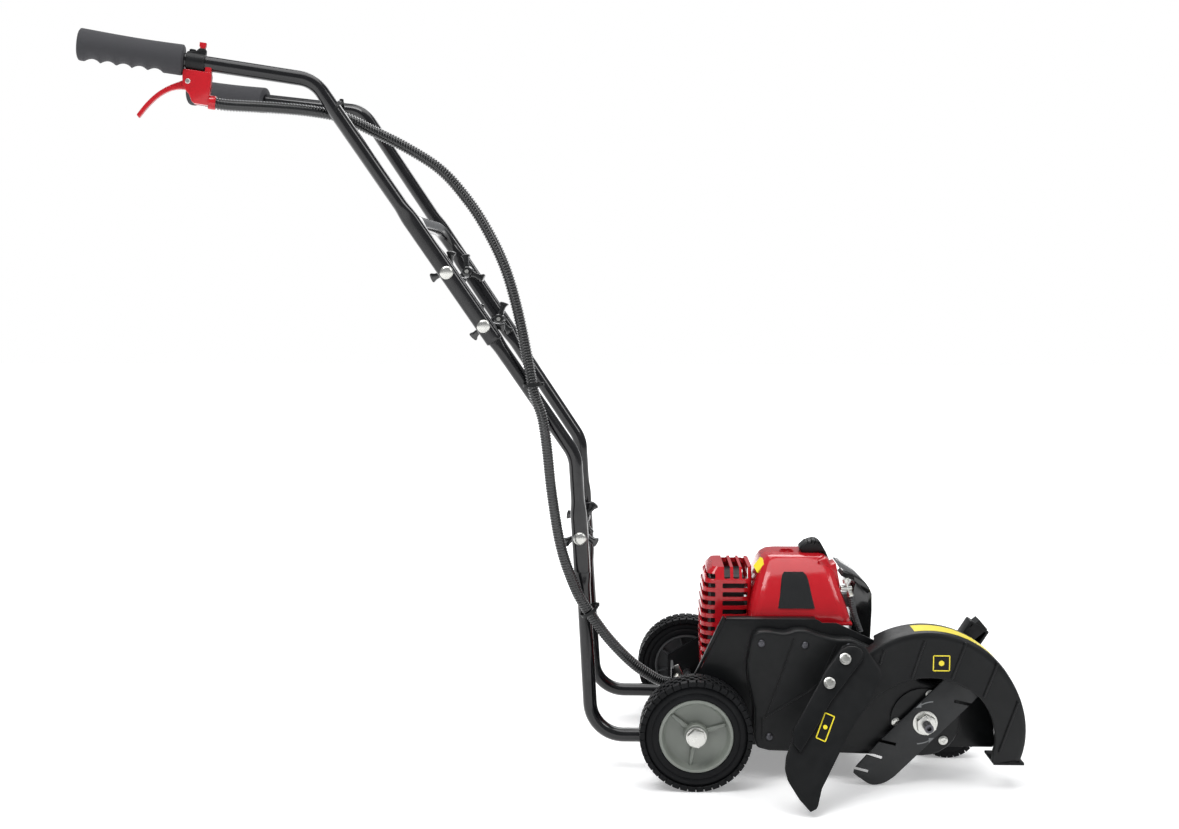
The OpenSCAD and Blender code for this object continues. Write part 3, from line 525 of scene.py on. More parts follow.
def make_finish(name, colour, rough, metal=0.0, coat=0.0, grain=0.15, scale=900.0,
                mottle=0.12, shine=0.5):
    """Procedural surface: mottled colour, uneven gloss and a fine raised grain."""
    material = bpy.data.materials.new(name)
    material.use_nodes = True
    tree = material.node_tree
    link = tree.links.new
    shader = tree.nodes["Principled BSDF"]
    shader.inputs["Metallic"].default_value = metal
    shader.inputs["Coat Weight"].default_value = coat
    shader.inputs["Coat Roughness"].default_value = 0.08
    shader.inputs["Specular IOR Level"].default_value = shine
    place = tree.nodes.new("ShaderNodeTexCoord").outputs["Object"]

    def noise(size, detail):
        node = tree.nodes.new("ShaderNodeTexNoise")
        node.inputs["Scale"].default_value = size
        node.inputs["Detail"].default_value = detail
        link(place, node.inputs["Vector"])
        return node.outputs["Fac"]

    ramp = tree.nodes.new("ShaderNodeValToRGB")
    for stop, at, share in ((0, 0.3, 1 - mottle), (1, 0.7, 1 + mottle)):
        ramp.color_ramp.elements[stop].position = at
        ramp.color_ramp.elements[stop].color = (*(min(1.0, c * share) for c in colour), 1)
    link(noise(34.0, 4.0), ramp.inputs["Fac"])
    link(ramp.outputs["Color"], shader.inputs["Base Color"])
    spread = tree.nodes.new("ShaderNodeMapRange")
    spread.inputs["From Min"].default_value = 0.3
    spread.inputs["From Max"].default_value = 0.7
    spread.inputs["To Min"].default_value = max(0.02, rough - ROUGH_SPREAD)
    spread.inputs["To Max"].default_value = min(1.0, rough + ROUGH_SPREAD)
    link(noise(90.0, 3.0), spread.inputs["Value"])
    link(spread.outputs["Result"], shader.inputs["Roughness"])
    if grain:
        bump = tree.nodes.new("ShaderNodeBump")
        bump.inputs["Strength"].default_value = grain
        bump.inputs["Distance"].default_value = 0.0004
        link(noise(scale, 2.0), bump.inputs["Height"])
        link(bump.outputs["Normal"], shader.inputs["Normal"])
    return material


def make_brushed(name, colour, rough, scale):
    """Metal with fine turning marks, drawn out along X and Z."""
    material = make_finish(name, colour, rough, metal=1.0, grain=0.0, mottle=0.06)
    tree = material.node_tree
    shader = tree.nodes["Principled BSDF"]
    place = tree.nodes.new("ShaderNodeTexCoord")
    stretch = tree.nodes.new("ShaderNodeMapping")
    stretch.inputs["Scale"].default_value = (1.0, 14.0, 1.0)
    marks = tree.nodes.new("ShaderNodeTexNoise")
    marks.inputs["Scale"].default_value = scale
    bump = tree.nodes.new("ShaderNodeBump")
    bump.inputs["Strength"].default_value = 0.12
    bump.inputs["Distance"].default_value = 0.0003
    tree.links.new(place.outputs["Object"], stretch.inputs["Vector"])
    tree.links.new(stretch.outputs["Vector"], marks.inputs["Vector"])
    tree.links.new(marks.outputs["Fac"], bump.inputs["Height"])
    tree.links.new(bump.outputs["Normal"], shader.inputs["Normal"])
    return material


# ---------- properties ----------


def colour_property(label, default):
    return FloatVectorProperty(name=label, description=f"Colour of the {label.lower()}",
                               subtype="COLOR", size=3, min=0, max=1, default=default)


class EdgerColours(bpy.types.PropertyGroup):
    """Colours that a user would change."""

    enamel: colour_property("Tube enamel", (0.004, 0.004, 0.005))
    coat: colour_property("Sheet metal coat", (0.006, 0.0065, 0.007))
    moulding: colour_property("Black mouldings", (0.009, 0.0095, 0.010))
    rubber: colour_property("Grip rubber", (0.004, 0.0043, 0.005))
    tyre: colour_property("Tyres", (0.005, 0.0053, 0.006))
    hub: colour_property("Wheel hubs", (0.19, 0.205, 0.182))
    red: colour_property("Engine and throttle mouldings", (0.46, 0.009, 0.016))
    yellow: colour_property("Label ink", (0.85, 0.70, 0.03))
    zinc: colour_property("Zinc plated fasteners", (0.60, 0.60, 0.57))


class EdgerSizes(bpy.types.PropertyGroup):
    """Sizes of the details that the frame leaves open."""

    lug_count: IntProperty(name="Tread lugs", description="Lugs around a rear tyre",
                           default=42, min=24, max=60)
    lug_height: FloatProperty(name="Lug height", description="Height of the tread lugs",
                              default=0.0028, min=0.002, max=0.005, unit="LENGTH")
    conduit_pitch: FloatProperty(name="Conduit pitch", description="Distance between conduit ribs",
                                 default=0.0037, min=0.0025, max=0.006, unit="LENGTH")
    conduit_d: FloatProperty(name="Conduit diameter", description="Outer diameter of the conduit",
                             default=0.0155, min=0.01, max=0.017, unit="LENGTH")
    slot_pitch: FloatProperty(name="Slot pitch", description="Distance between the guard's slots",
                              default=0.0123, min=0.01, max=0.016, unit="LENGTH")
    scallops: IntProperty(name="Finger scallops", description="Finger rests below each grip",
                          default=5, min=3, max=6)


class EdgerOperator(bpy.types.Operator):
    """Shared settings of the building steps."""

    bl_idname = "edger.step"
    bl_label = "Edger Step"
    bl_options = {"REGISTER"}

    @property
    def sizes(self):
        return bpy.context.scene.edger_sizes

    @property
    def colours(self):
        return bpy.context.scene.edger_colours


# ---------- steps ----------

KEPT_NODES = {
    "upper_joint_bolts": "zinc_plate", "fold_bolts": "zinc_plate",
    "engine_deck": "satin_coat", "side_plate_left": "satin_coat", "front_arm": "satin_coat",
    "rear_axle": "machined_steel", "front_pivot": "machined_steel", "front_hub": "grained_black",
    "spindle_shield": "satin_coat", "bearing_housing": "cast_alloy",
    "spindle_bearings": "machined_steel", "spindle_shaft": "dark_steel",
    "driven_pulley": "machined_steel", "drive_belt": "belt_rubber",
    "clutch_drum": "machined_steel", "crankshaft": "machined_steel",
    "engine_block": "cast_alloy", "muffler": "heat_paint", "starter_housing": "grained_black",
    "starter_handle": "grained_black", "stop_switch": "red_gloss",
    "throttle_clamp": "grained_black", "carburettor": "cast_alloy", "fuel_tank": "tank_plastic",
}


class EDGER_OT_finishes(EdgerOperator):
    """Makes the materials and gives them to the CAD nodes that stay in view"""

    bl_idname = "edger.finishes"
    bl_label = "Finishes"

    def execute(self, context):
        c = self.colours
        make_finish("tube_enamel", c.enamel, 0.2, coat=0.35, grain=0.05, scale=300, mottle=0.1,
                    shine=0.35)
        make_finish("satin_coat", c.coat, 0.34, coat=0.05, grain=0.12, scale=1500, shine=0.2)
        make_finish("grained_black", c.moulding, 0.38, grain=0.25, scale=1400, shine=0.2)
        make_finish("gloss_black", c.moulding, 0.14, coat=0.5, grain=0.04, scale=200)
        make_finish("grip_rubber", c.rubber, 0.5, grain=0.25, scale=1800, shine=0.03)
        make_finish("tyre_rubber", c.tyre, 0.44, grain=0.3, scale=1200, mottle=0.2, shine=0.12)
        make_finish("hub_plastic", c.hub, 0.42, grain=0.15, scale=1000, mottle=0.04)
        make_finish("hub_back", (0.03, 0.032, 0.034), 0.5, grain=0.2)
        make_finish("red_gloss", c.red, 0.16, coat=0.2, grain=0.04, scale=260, mottle=0.05, shine=0.35)
        make_finish("label_ink", c.yellow, 0.35, grain=0.05, mottle=0.04)
        make_finish("mark_ink", (0.16, 0.165, 0.17), 0.4, grain=0.05)
        make_finish("belt_rubber", (0.012, 0.012, 0.012), 0.7, grain=0.3)
        make_finish("heat_paint", (0.013, 0.013, 0.014), 0.65, grain=0.4, scale=700)
        make_finish("tank_plastic", (0.62, 0.62, 0.56), 0.4, grain=0.1)
        make_finish("cast_alloy", (0.36, 0.37, 0.38), 0.45, metal=1.0, grain=0.5, scale=600)
        make_finish("blade_paint", (0.014, 0.015, 0.016), 0.36, grain=0.2, scale=900, shine=0.35)
        make_brushed("zinc_plate", c.zinc, 0.3, 700)
        make_brushed("machined_steel", (0.42, 0.43, 0.45), 0.32, 900)
        make_finish("spring_grey", (0.09, 0.092, 0.095), 0.35, metal=0.4, grain=0.1)
        make_brushed("dark_steel", (0.10, 0.10, 0.11), 0.35, 900)
        for node, finish in KEPT_NODES.items():
            data = frame["nodes"][node].data
            data.materials.clear()
            data.materials.append(bpy.data.materials[finish])
        return {"FINISHED"}


def eased(x):
    x = min(1.0, max(0.0, x))
    return x * x * (3 - 2 * x)


def flattened(stretches, ease=24.0):
    """Section of a tube that is flattened between each pair of distances."""
    def section(reach):
        share = max(min(eased((reach - a) / ease + 0.5), eased((b - reach) / ease + 0.5))
                    for a, b in stretches)
        return TUBE_D + (FLAT_W - TUBE_D) * share, TUBE_D + (FLAT_T - TUBE_D) * share
    return section


class EDGER_OT_handle_tubes(EdgerOperator):
    """Bends the enamelled tubes, flattened where they are bolted together"""

    bl_idname = "edger.handle_tubes"
    bl_label = "Handle Tubes"

    def execute(self, context):
        foot, knee, top = on_post(FOLD.z - 48, LEG_HALF), on_leg(0), on_leg(CROSS_L)
        for side, label in SIDES:
            start = on_leg(BOLT_L - 25) + STACK * LEG_OUT
            route = [mirrored(side, p) for p in rounded([start, BEND, on_run(RUN_L)], 40)]
            wide = mirrored(side, LEG_DIR).cross(mirrored(side, LEG_OUT)).normalized()
            tube = sweep("upper_tube_finish_" + label, stepped(route, 6), wide,
                         flattened([(-20, CROSS_L + 17 - BOLT_L + 25)]))
            done(bevelled(tube, 1.5, 3, 60), "handle", "tube_enamel",
                 ["upper_tube_" + label])
            rail = [on_post(FOLD.z + 20, LEG_HALF - FLAT_T - 0.3),
                    on_post(FOLD.z - 83, LEG_HALF - FLAT_T - 0.3),
                    on_post(50, 105.0), Vector((245, 105.0, 50))]
            route = [mirrored(side, p) for p in rounded(rail, 46)]
            tube = sweep("lower_tube_finish_" + label, stepped(route, 6), Vector((1, 0, 0)),
                         flattened([(-20, 81)]))
            done(bevelled(tube, 1.5, 3, 60), "chassis", "tube_enamel",
                 ["lower_tube_" + label])
        lower = rounded([foot, knee, on_leg(BOLT_L)], 50)[:-1]
        corner = rounded([on_leg(BOLT_L), top, Vector((top.x, 0, top.z))], 36)[1:-1]
        half = lower + corner
        route = [mirrored(RIGHT, p) for p in half] + half[::-1]
        total = sum((b - a).length for a, b in zip(route, route[1:]))
        knee_at = (knee - foot).length
        flats = [(-20, 90), (knee_at + BOLT_L - 30, knee_at + BOLT_L + BOLT_PITCH + 30)]
        flats += [(total - b, total - a) for a, b in flats]
        tube = sweep("middle_handle_finish", stepped(route, 6), Vector((1, 0, 0)), flattened(flats))
        done(bevelled(tube, 1.5, 3, 60), "handle", "tube_enamel", ["middle_handle"])
        return {"FINISHED"}


class EDGER_OT_grips(EdgerOperator):
    """Moulds the rubber grips with finger rests below"""

    bl_idname = "edger.grips"
    bl_label = "Grips"

    def execute(self, context):
        length, radius, count = 127, 20, self.sizes.scallops
        start = RUN_L - 126
        for side, label in SIDES:
            rings = []
            for i in range(91):
                k = length * i / 90
                end = min(k, length - k)
                inset = 2.6 * (1 - math.sqrt(max(0.0, 1 - (1 - min(end, 3.0) / 3.0) ** 2)))
                wave = abs(math.sin(math.pi * count * (k - 24) / (length - 32))) ** 0.8
                hollow = 4.2 * wave if 24 < k < length - 8 else 0.0
                taper = 0.9 * math.cos(math.pi * k / length)
                ring = []
                for j in range(48):
                    a = 2 * math.pi * j / 48
                    below = max(0.0, -math.sin(a)) ** 1.5
                    above = max(0.0, math.sin(a)) ** 2 * 1.2 * math.sin(math.pi * k / length)
                    r = radius - 0.4 - taper * 0.4 - inset - hollow * below - above
                    point = on_run(start + k, r * math.sin(a))
                    ring.append(mirrored(side, point + r * math.cos(a) * RUN_UP.cross(RUN_DIR)))
                rings.append(ring)
            grip = loft("grip_finish_" + label, rings)
            done(grip, "handle", "grip_rubber", ["grip_" + label], 40)
        return {"FINISHED"}


class EDGER_OT_knobs(EdgerOperator):
    """Makes the three-winged clamping knobs"""

    bl_idname = "edger.knobs"
    bl_label = "Wing Knobs"

    @staticmethod
    def wing_outline():
        points = []
        for k in range(3):
            turn = math.radians(120 * k)
            for x, y in ((6.5, -4.6), (14, -3.4), (20, -4.2), (24.5, -6.6), (26, -5.0), (26.4, 0),
                         (26, 5.0), (24.5, 6.6), (20, 4.2), (14, 3.4), (6.5, 4.6)):
                points.append((x * math.cos(turn) - y * math.sin(turn),
                               x * math.sin(turn) + y * math.cos(turn)))
        return points

    def execute(self, context):
        spins = {"right_front": 15, "right_rear": 40, "left_front": 70, "left_rear": 95,
                 "fold_right": 30, "fold_left": 50}
        for label, spin in spins.items():
            node = "knob_" + label
            joint = node + "_turn"
            inward = joint_axis(joint)
            if label.startswith("fold"):
                side = RIGHT if label.endswith("right") else LEFT
                face = Vector((FOLD.x, side * (LEG_HALF - 1.5 * FLAT_T - 0.6), FOLD.z))
                inward = Vector((0, -side, 0))
            else:
                inward = -inward
                face = joint_at(joint) - inward * (KNOB_DEPTH - FLAT_T / 2 - 0.3)
            turn = UP.rotation_difference(inward) @ Quaternion(UP, math.radians(spin))

            def place(u, v, w):
                return face + turn @ Vector((u, v, w))

            wings = extruded(node + "_wings", self.wing_outline(), place, 5, 15.5, 1.4, 3)
            hub = lathe(node + "_hub", [(3.2, 0), (9, 0), (9.5, 1), (8.6, 15), (7.2, 18),
                                        (6.2, 18.6), (3.2, 18.6)], face, inward, 32)
            done(joined(node + "_finish", [wings, hub]), node, "gloss_black", [node])
        return {"FINISHED"}


def cup_head():
    return lathe("cup_head", [(0, -1), (8.7, -1), (9, -0.2), (8.8, 0.8), (8.0, 1.9), (6.5, 2.8),
                              (4.5, 3.4), (2.2, 3.7), (0, 3.8)], (0, 0, 0), UP, 40)


def hex_head(across, height, flange, socket=0.0):
    """Flanged hexagon head with a crossed recess, standing on z = 0."""
    r = across / math.sqrt(3)
    outline = [(r * math.cos(math.radians(60 * k + 12)), r * math.sin(math.radians(60 * k + 12)))
               for k in range(6)]
    head = extruded("head", outline, lambda u, v, w: Vector((u, v, w)), 0.5, height, 0.8, 3)
    if socket:
        head = carved(head, [block("slot_a", (-socket, -0.9, height - 2), (socket, 0.9, height + 2)),
                             block("slot_b", (-0.9, -socket, height - 2), (0.9, socket, height + 2))])
    collar = lathe("collar", [(0, 0), (flange - 0.4, 0), (flange, 0.5), (flange - 0.3, 1.4),
                              (flange * 0.8, 2.0), (0, 2.0)], (0, 0, 0), UP, 40)
    return joined("flanged_head", [head, collar])


FLAP_BOLTS = ((193, 178), (171, 150))
COVER_SCREWS = ((88, 190), (146, 188), (204, 186), (100, 62))


class EDGER_OT_fasteners(EdgerOperator):
    """Sets the plated bolts, nuts and screws in their places"""

    bl_idname = "edger.fasteners"
    bl_label = "Fasteners"

    def execute(self, context):
        head = STACK + FLAT_T / 2
        joint_places = [(mirrored(s, on_leg(BOLT_L + k * BOLT_PITCH) + head * LEG_OUT),
                         mirrored(s, LEG_OUT), LEG_DIR) for s, _ in SIDES for k in (0, 1)]
        done(repeated("upper_joint_bolt_heads", cup_head(), joint_places, "zinc_plate"),
             "handle", "zinc_plate")
        fold_places = [(Vector((FOLD.x, s * (LEG_HALF + FLAT_T / 2 + 0.3), FOLD.z)),
                        Vector((0, s, 0)), UP) for s, _ in SIDES]
        done(repeated("fold_bolt_heads", cup_head(), fold_places, "zinc_plate"),
             "chassis", "zinc_plate")
        flap_places = [(flap_plane(x, -(FLAP_TOP.z - z) / math.cos(FLAP_LEAN), 0)
                        + 7.6 * FLAP_OUT, FLAP_OUT, Vector((1, 0, 0))) for x, z in FLAP_BOLTS]
        frame_places = [(Vector((x, s * 117.7, 50)), Vector((0, s, 0)), UP)
                        for s, _ in SIDES for x in (-16, 58)]
        bolts = repeated("flange_bolt_heads", hex_head(11.5, 7, 7.7, 3.4),
                         flap_places + frame_places, "zinc_plate")
        done(bolts, "chassis", "zinc_plate", ["flange_bolts"])
        wheel_places = [(Vector((0, s * 186.2, WHEEL_R)), Vector((0, s, 0)), UP) for s, _ in SIDES]
        done(repeated("wheel_bolt_heads", hex_head(22, 8.5, 13.8), wheel_places, "zinc_plate"),
             "chassis", "zinc_plate", ["wheel_bolts"])
        nut = hex_head(24, 11.5, 16.5)
        nut = repeated("blade_nut_finish", nut, [(side_plane(SPINDLE.x, SPINDLE.z, 154),
                       NEAR, Vector((0.9, 0, 0.4)))], "zinc_plate")
        nut = carved(nut, [spindle_bore(150, 175)])
        done(nut, "spindle", "zinc_plate", ["blade_nut"])
        screw = lathe("screw", [(0, -2), (4.6, -2), (5, 0), (4.8, 1), (3.9, 2), (2, 2.5), (0, 2.5)],
                      (0, 0, 0), UP, 24)
        screw = carved(screw, [block("slot_a", (-2.6, -0.6, 1), (2.6, 0.6, 4)),
                               block("slot_b", (-0.6, -2.6, 1), (0.6, 2.6, 4))])
        cover = [(side_plane(x, z, 142.6), NEAR, Vector((1, 0, k))) for k, (x, z) in
                 enumerate(COVER_SCREWS)]
        done(repeated("cover_screw_heads", screw, cover, "dark_steel"), "chassis",
             "dark_steel", ["cover_screws"])
        shield = [(side_plane(SPINDLE.x + 37 * math.cos(math.radians(a)),
                              SPINDLE.z + 37 * math.sin(math.radians(a)), 145.8),
                   NEAR, Vector((1, 0, 0.3))) for a in (78, 183, 315)]
        done(repeated("shield_screw_heads", hex_head(9, 3.2, 6.4, 2.6), shield, "zinc_plate"),
             "chassis", "zinc_plate")
        return {"FINISHED"}


class EDGER_OT_throttle(EdgerOperator):
    """Moulds the red throttle housing and its lever"""

    bl_idname = "edger.throttle"
    bl_label = "Throttle"

    def execute(self, context):
        shell = [(126, -15), (127, -11), (160, -11), (161.3, -13), (161.3, -20), (160, -31),
                 (156, -37), (151, -42), (147, -50), (144, -52), (127, -52), (126, -50)]
        body = extruded("throttle_shell", shell, throttle_place, -9, 9, 1.4, 3)
        slot = [(151, -60), (170, -60), (170, 2), (147, 2), (147, -34)]
        body = carved(body, [extruded("slot", slot, throttle_place, -4.3, 4.3)])
        end = mirrored(RIGHT, on_run(127, -47))
        ferrule = lathe("ferrule", [(0, 0), (8.6, 0), (8.8, 0.6), (8.8, 8), (8.0, 9), (0, 9)],
                        end, mirrored(RIGHT, -RUN_DIR), 32)
        collar = extruded("throttle_collar", [(127, -16), (127, 3), (135, 3), (135, -16)],
                          throttle_place, -8, 8, 1.0)
        done(joined("throttle_housing_finish", [body, ferrule, collar]), "handle", "red_gloss",
             ["throttle_housing"])
        middle = throttle_place(147.5, 0, 0)
        band = lathe("clamp_band", [(9.6, -11.5), (11.3, -11.5), (11.8, -11), (11.8, 11),
                                    (11.3, 11.5), (9.6, 11.5)], middle, mirrored(RIGHT, RUN_DIR), 40)
        seat = extruded("clamp_seat", [(136, 9), (136, 16.4), (137.2, 17.4), (144, 17.4), (146.5, 15),
                                       (148, 12.5), (158, 11.5), (159, 9)], throttle_place, -6, 6, 1, 2)
        button = lathe("clamp_button", [(0, 0), (4.4, 0), (4.4, 2.6), (3.6, 3.6), (0, 3.6)],
                       throttle_place(152.5, 11.5, 0), mirrored(RIGHT, RUN_UP), 24)
        done(joined("throttle_clamp_finish", [band, seat, button]), "handle", "grained_black",
             ["throttle_clamp"])
        pivot = throttle_place(154, -26, 0)
        across = (throttle_place(0, 0, 1) - throttle_place(0, 0, 0)).normalized()
        pin = lathe("throttle_pin", [(0, -9.6), (2.4, -9.6), (3.2, -9.2), (3.2, 9.2), (2.4, 9.8),
                                     (0, 9.8)], pivot, across, 24)
        done(pin, "handle", "zinc_plate")
        upper = [(0, 5), (9, -0.5), (23, -8.5), (36, -19), (48, -33.5), (58, -50)]
        lower = [(54.5, -54), (44.5, -38), (33.5, -24.5), (22, -15.5), (11, -11), (0, -10)]
        outline = smooth_line(upper, 4) + smooth_line(lower, 4)
        outline += arc((0, 0), 5.5, 250, 120, 8)[1:]
        lever = extruded("throttle_lever_finish", [(154 + x, -26 + z) for x, z in outline],
                         throttle_place, -3.9, 3.9, 1.2, 3)
        done(lever, "lever", "red_gloss", ["throttle_lever"])
        return {"FINISHED"}


def smooth_line(points, steps):
    """Catmull-Rom line through 2-D or 3-D points."""
    p = [Vector(q) for q in points]
    result = []
    for i in range(len(p) - 1):
        a, b, c, d = p[max(i - 1, 0)], p[i], p[i + 1], p[min(i + 2, len(p) - 1)]
        for k in range(steps):
            t = k / steps
            result.append(0.5 * ((2 * b) + (c - a) * t + (2 * a - 5 * b + 4 * c - d) * t * t
                                 + (3 * b - a - 3 * c + d) * t ** 3))
    result.append(p[-1])
    return [q if len(q) == 3 else (q[0], q[1]) for q in result]


CONDUIT_ROUTE = [(-615, -186, 896), (-600, -183, 894), (-548, -173, 892), (-505, -156, 890),
                 (-464, -137, 884), (-430, -130, 869), (-383, -127, 846), (-338, -122, 817),
                 (-304, -120, 779), (-278, -120, 739), (-255, -120, 691), (-239, -120, 637),
                 (-226, -122, 575), (-216, -127, 523), (-205, -127, 490), (-199, -125, 447),
                 (-194, -124, 397), (-186, -124, 341), (-179, -123, 308), (-171, -120, 282),
                 (-158, -113, 248), (-143, -108, 222), (-116, -101, 183), (-84, -90, 147),
                 (-56, -77, 124), (-42, -72, 116), (-30, -70, 114)]


class EDGER_OT_conduit(EdgerOperator):
    """Lays the corrugated throttle conduit with its ties"""

    bl_idname = "edger.conduit"
    bl_label = "Conduit"

    @staticmethod
    def tie(name, centre, along, size, body):
        """Nylon tie around a conduit and a tube: a flat band with its lock."""
        along = along.normalized()
        wide = Vector((0, 1, 0)) - along.y * along
        wide.normalize()
        route = []
        for k in range(40):
            a = 2 * math.pi * k / 40
            route.append(centre + size[0] * math.cos(a) * wide + size[1] * math.sin(a)
                         * along.cross(wide))
        rings = []
        for k, p in enumerate(route + [route[0]]):
            out = (p - centre).normalized()
            rings.append([p + u * along + v * out for u, v in ((-2, 0), (2, 0), (2, 1.2), (-2, 1.2))])
        band = loft(name + "_band", rings, cap=False)
        lock_at = centre - (size[1] + 1) * along.cross(wide) * (1 if along.cross(wide).x < 0 else -1)
        lock = block(name + "_lock", lock_at - Vector((2.2, 3, 2.2)), lock_at + Vector((2.2, 3, 2.2)), 0.6)
        done(joined(name, [band, lock]), body, "grained_black")

    def execute(self, context):
        s = self.sizes
        route = [Vector(p) for p in smooth_line(CONDUIT_ROUTE, 6)]
        conduit = ribbed("throttle_conduit", route, s.conduit_d / MM / 2, s.conduit_pitch / MM,
                         1.25, "grained_black")
        done(conduit, "chassis", "gloss_black", ["conduit_upper", "conduit_lower"], 80)
        conduit.parent = None
        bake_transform(conduit)
        self.tie("conduit_tie_knee", Vector((-218, -123, 534)), Vector((-0.1, 0, 1)), (16, 12), "handle")
        self.tie("conduit_tie_foot", Vector((-143, -103, 224)), Vector((-0.55, -0.1, 0.8)),
                 (15, 13), "chassis")
        self.tie("conduit_clip", Vector((-466, -149, 890)), Vector((-1, 0, 0.3)), (17, 13), "handle")
        nut = lathe("stop_nut", [(4.2, 0), (8.8, 0), (9.4, 1), (9.4, 7), (8.6, 8), (4.2, 8)],
                    (-27, -70, 114), (1, 0, 0), 6)
        barrel = lathe("stop_barrel", [(0, 0), (5, 0), (5.4, 0.6), (5.4, 15), (4.4, 16), (0, 16)],
                       (-20, -70, 114), (1, 0, 0), 24)
        plate = turned_block("stop_plate", (-20, -64, 124), (12, 3, 26), math.radians(-24), 0.8)
        done(joined("conduit_stop", [nut, barrel, plate]), "chassis", "zinc_plate")
        return {"FINISHED"}


class EDGER_OT_tyres(EdgerOperator):
    """Moulds the tyres with block treads"""

    bl_idname = "edger.tyres"
    bl_label = "Tyres"

    def tread(self, name, centre, radius, half, count, height, rows):
        """Lugs around a tyre: shoulder blocks on both edges and rows between them."""
        near = Vector((0, 1, 0))
        step = 2 * math.pi / count
        pitch = step * radius
        shoulder = extruded("shoulder", [(-0.46 * pitch, -4.6), (0.46 * pitch, -4.6),
                                         (0.41 * pitch, height - 0.6), (-0.41 * pitch, height - 0.6)],
                            lambda u, v, w: Vector((w, u, v)), -5.2, 5.2, 0.5, 1)
        crown = extruded("crown", [(-0.34 * pitch, -1), (0.34 * pitch, -1),
                                   (0.28 * pitch, height), (-0.28 * pitch, height)],
                         lambda u, v, w: Vector((w, u + 0.25 * w, v)), -0.36 * rows[0],
                         0.36 * rows[0], 0.5, 1)

        def ring(y, shift):
            places = []
            for k in range(count):
                a = step * (k + shift)
                out = Vector((math.cos(a), 0, math.sin(a)))
                places.append((centre + Vector((0, y, 0)) + (radius - height) * out, out, near))
            return places

        edges = ring(half - 4.4, 0) + ring(4.4 - half, 0)
        middle = [p for i, y in enumerate(rows[1:]) for p in ring(y, 0.5 * (i % 2 + 1))]
        blocks = [repeated(name + "_shoulder", shoulder, edges, "tyre_rubber"),
                  repeated(name + "_crown", crown, middle, "tyre_rubber")]
        return joined(name + "_tread", blocks)

    def execute(self, context):
        s = self.sizes
        height = s.lug_height / MM
        for side, label in SIDES:
            centre = Vector((0, side * WHEEL_Y, WHEEL_R))
            half = 19
            base = WHEEL_R - height
            profile = [(49, -16), (50, -17.6), (54, -18.4), (57, -18.0), (58, -17.2), (59, -18.0),
                       (62, -18.4), (66, -17.4), (69.5, -14), (base, -9), (base, 9), (69.5, 14),
                       (66, 17.4), (62, 18.4), (59, 18.0), (58, 17.2), (57, 18.0), (54, 18.4),
                       (50, 17.6), (49, 16)]
            body = lathe("tyre_body_" + label, profile, centre, (0, 1, 0), 96)
            tread = self.tread("tyre_" + label, centre, WHEEL_R, half, s.lug_count, height,
                               (9.0, -7.0, 0.0, 7.0))
            done(joined("tyre_finish_" + label, [body, tread]), "wheel_" + label, "tyre_rubber",
                 ["tyre_" + label])
        low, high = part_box("front_tyre")
        centre = (low + high) / 2 / MM
        profile = [(27, -13), (28, -14.6), (33, -15), (38, -14), (42, -10), (43, -6), (43, 6),
                   (42, 10), (38, 14), (33, 15), (28, 14.6), (27, 13)]
        body = lathe("front_tyre_body", profile, centre, (0, 1, 0), 72)
        tread = self.tread("front_tyre", centre, 45, 14, 30, 2.2, (7.0, -3.5, 3.5))
        done(joined("front_tyre_finish", [body, tread]), "front_wheel", "tyre_rubber",
             ["front_tyre"])
        return {"FINISHED"}


class EDGER_OT_hubs(EdgerOperator):
    """Moulds the dished hubs with three spokes and their ribbed backs"""

    bl_idname = "edger.hubs"
    bl_label = "Hubs"

    def execute(self, context):
        for side, label in SIDES:
            centre = Vector((0, side * WHEEL_Y, WHEEL_R))
            out = Vector((0, side, 0))
            dish = [(49.2, 16.5), (48.6, 17.6), (47, 18.2), (45.2, 18.0), (44.2, 16.5), (42.6, 9.5),
                    (41, 6.6), (38.5, 5.2), (17, 4.2), (16.2, 5.0), (15.6, 16.8), (14.6, 17.8),
                    (6.1, 17.8), (6.1, -17), (12, -17), (13, -2), (38, 1), (44, -4), (49.2, -5)]
            parts = [lathe("dish", dish, centre, out, 96)]
            for angle in (20, 140, 260):
                turn = math.radians(angle)

                def place(u, v, w):
                    return centre + Vector((u * math.cos(turn) - v * math.sin(turn), side * w,
                                            u * math.sin(turn) + v * math.cos(turn)))

                spoke = [(14, -3.2), (40, -2.2), (42, -1.6), (42.4, 0), (42, 1.6), (40, 2.2), (14, 3.2)]
                parts.append(extruded("spoke", spoke, place, 3.5, 9.5, 1.4, 3))
            done(joined("hub_finish_" + label, parts), "wheel_" + label, "hub_plastic",
                 ["hub_" + label])
            back = [(49, -16.5), (46.5, -17.4), (45, -16.5), (44.4, -9), (14, -9), (13.4, -18.6),
                    (6.1, -18.6), (6.1, -3), (44, -3), (49, -4)]
            parts = [lathe("back", back, centre, out, 72)]
            for k in range(8):
                turn = math.radians(45 * k + 12)
                mid = centre + 29 * Vector((math.cos(turn), 0, math.sin(turn))) - 11.5 * out
                parts.append(turned_block("rib", mid, (33, 7, 2.0), -turn, 0.6))
            done(joined("hub_back_" + label, parts), "wheel_" + label, "hub_back")
        return {"FINISHED"}


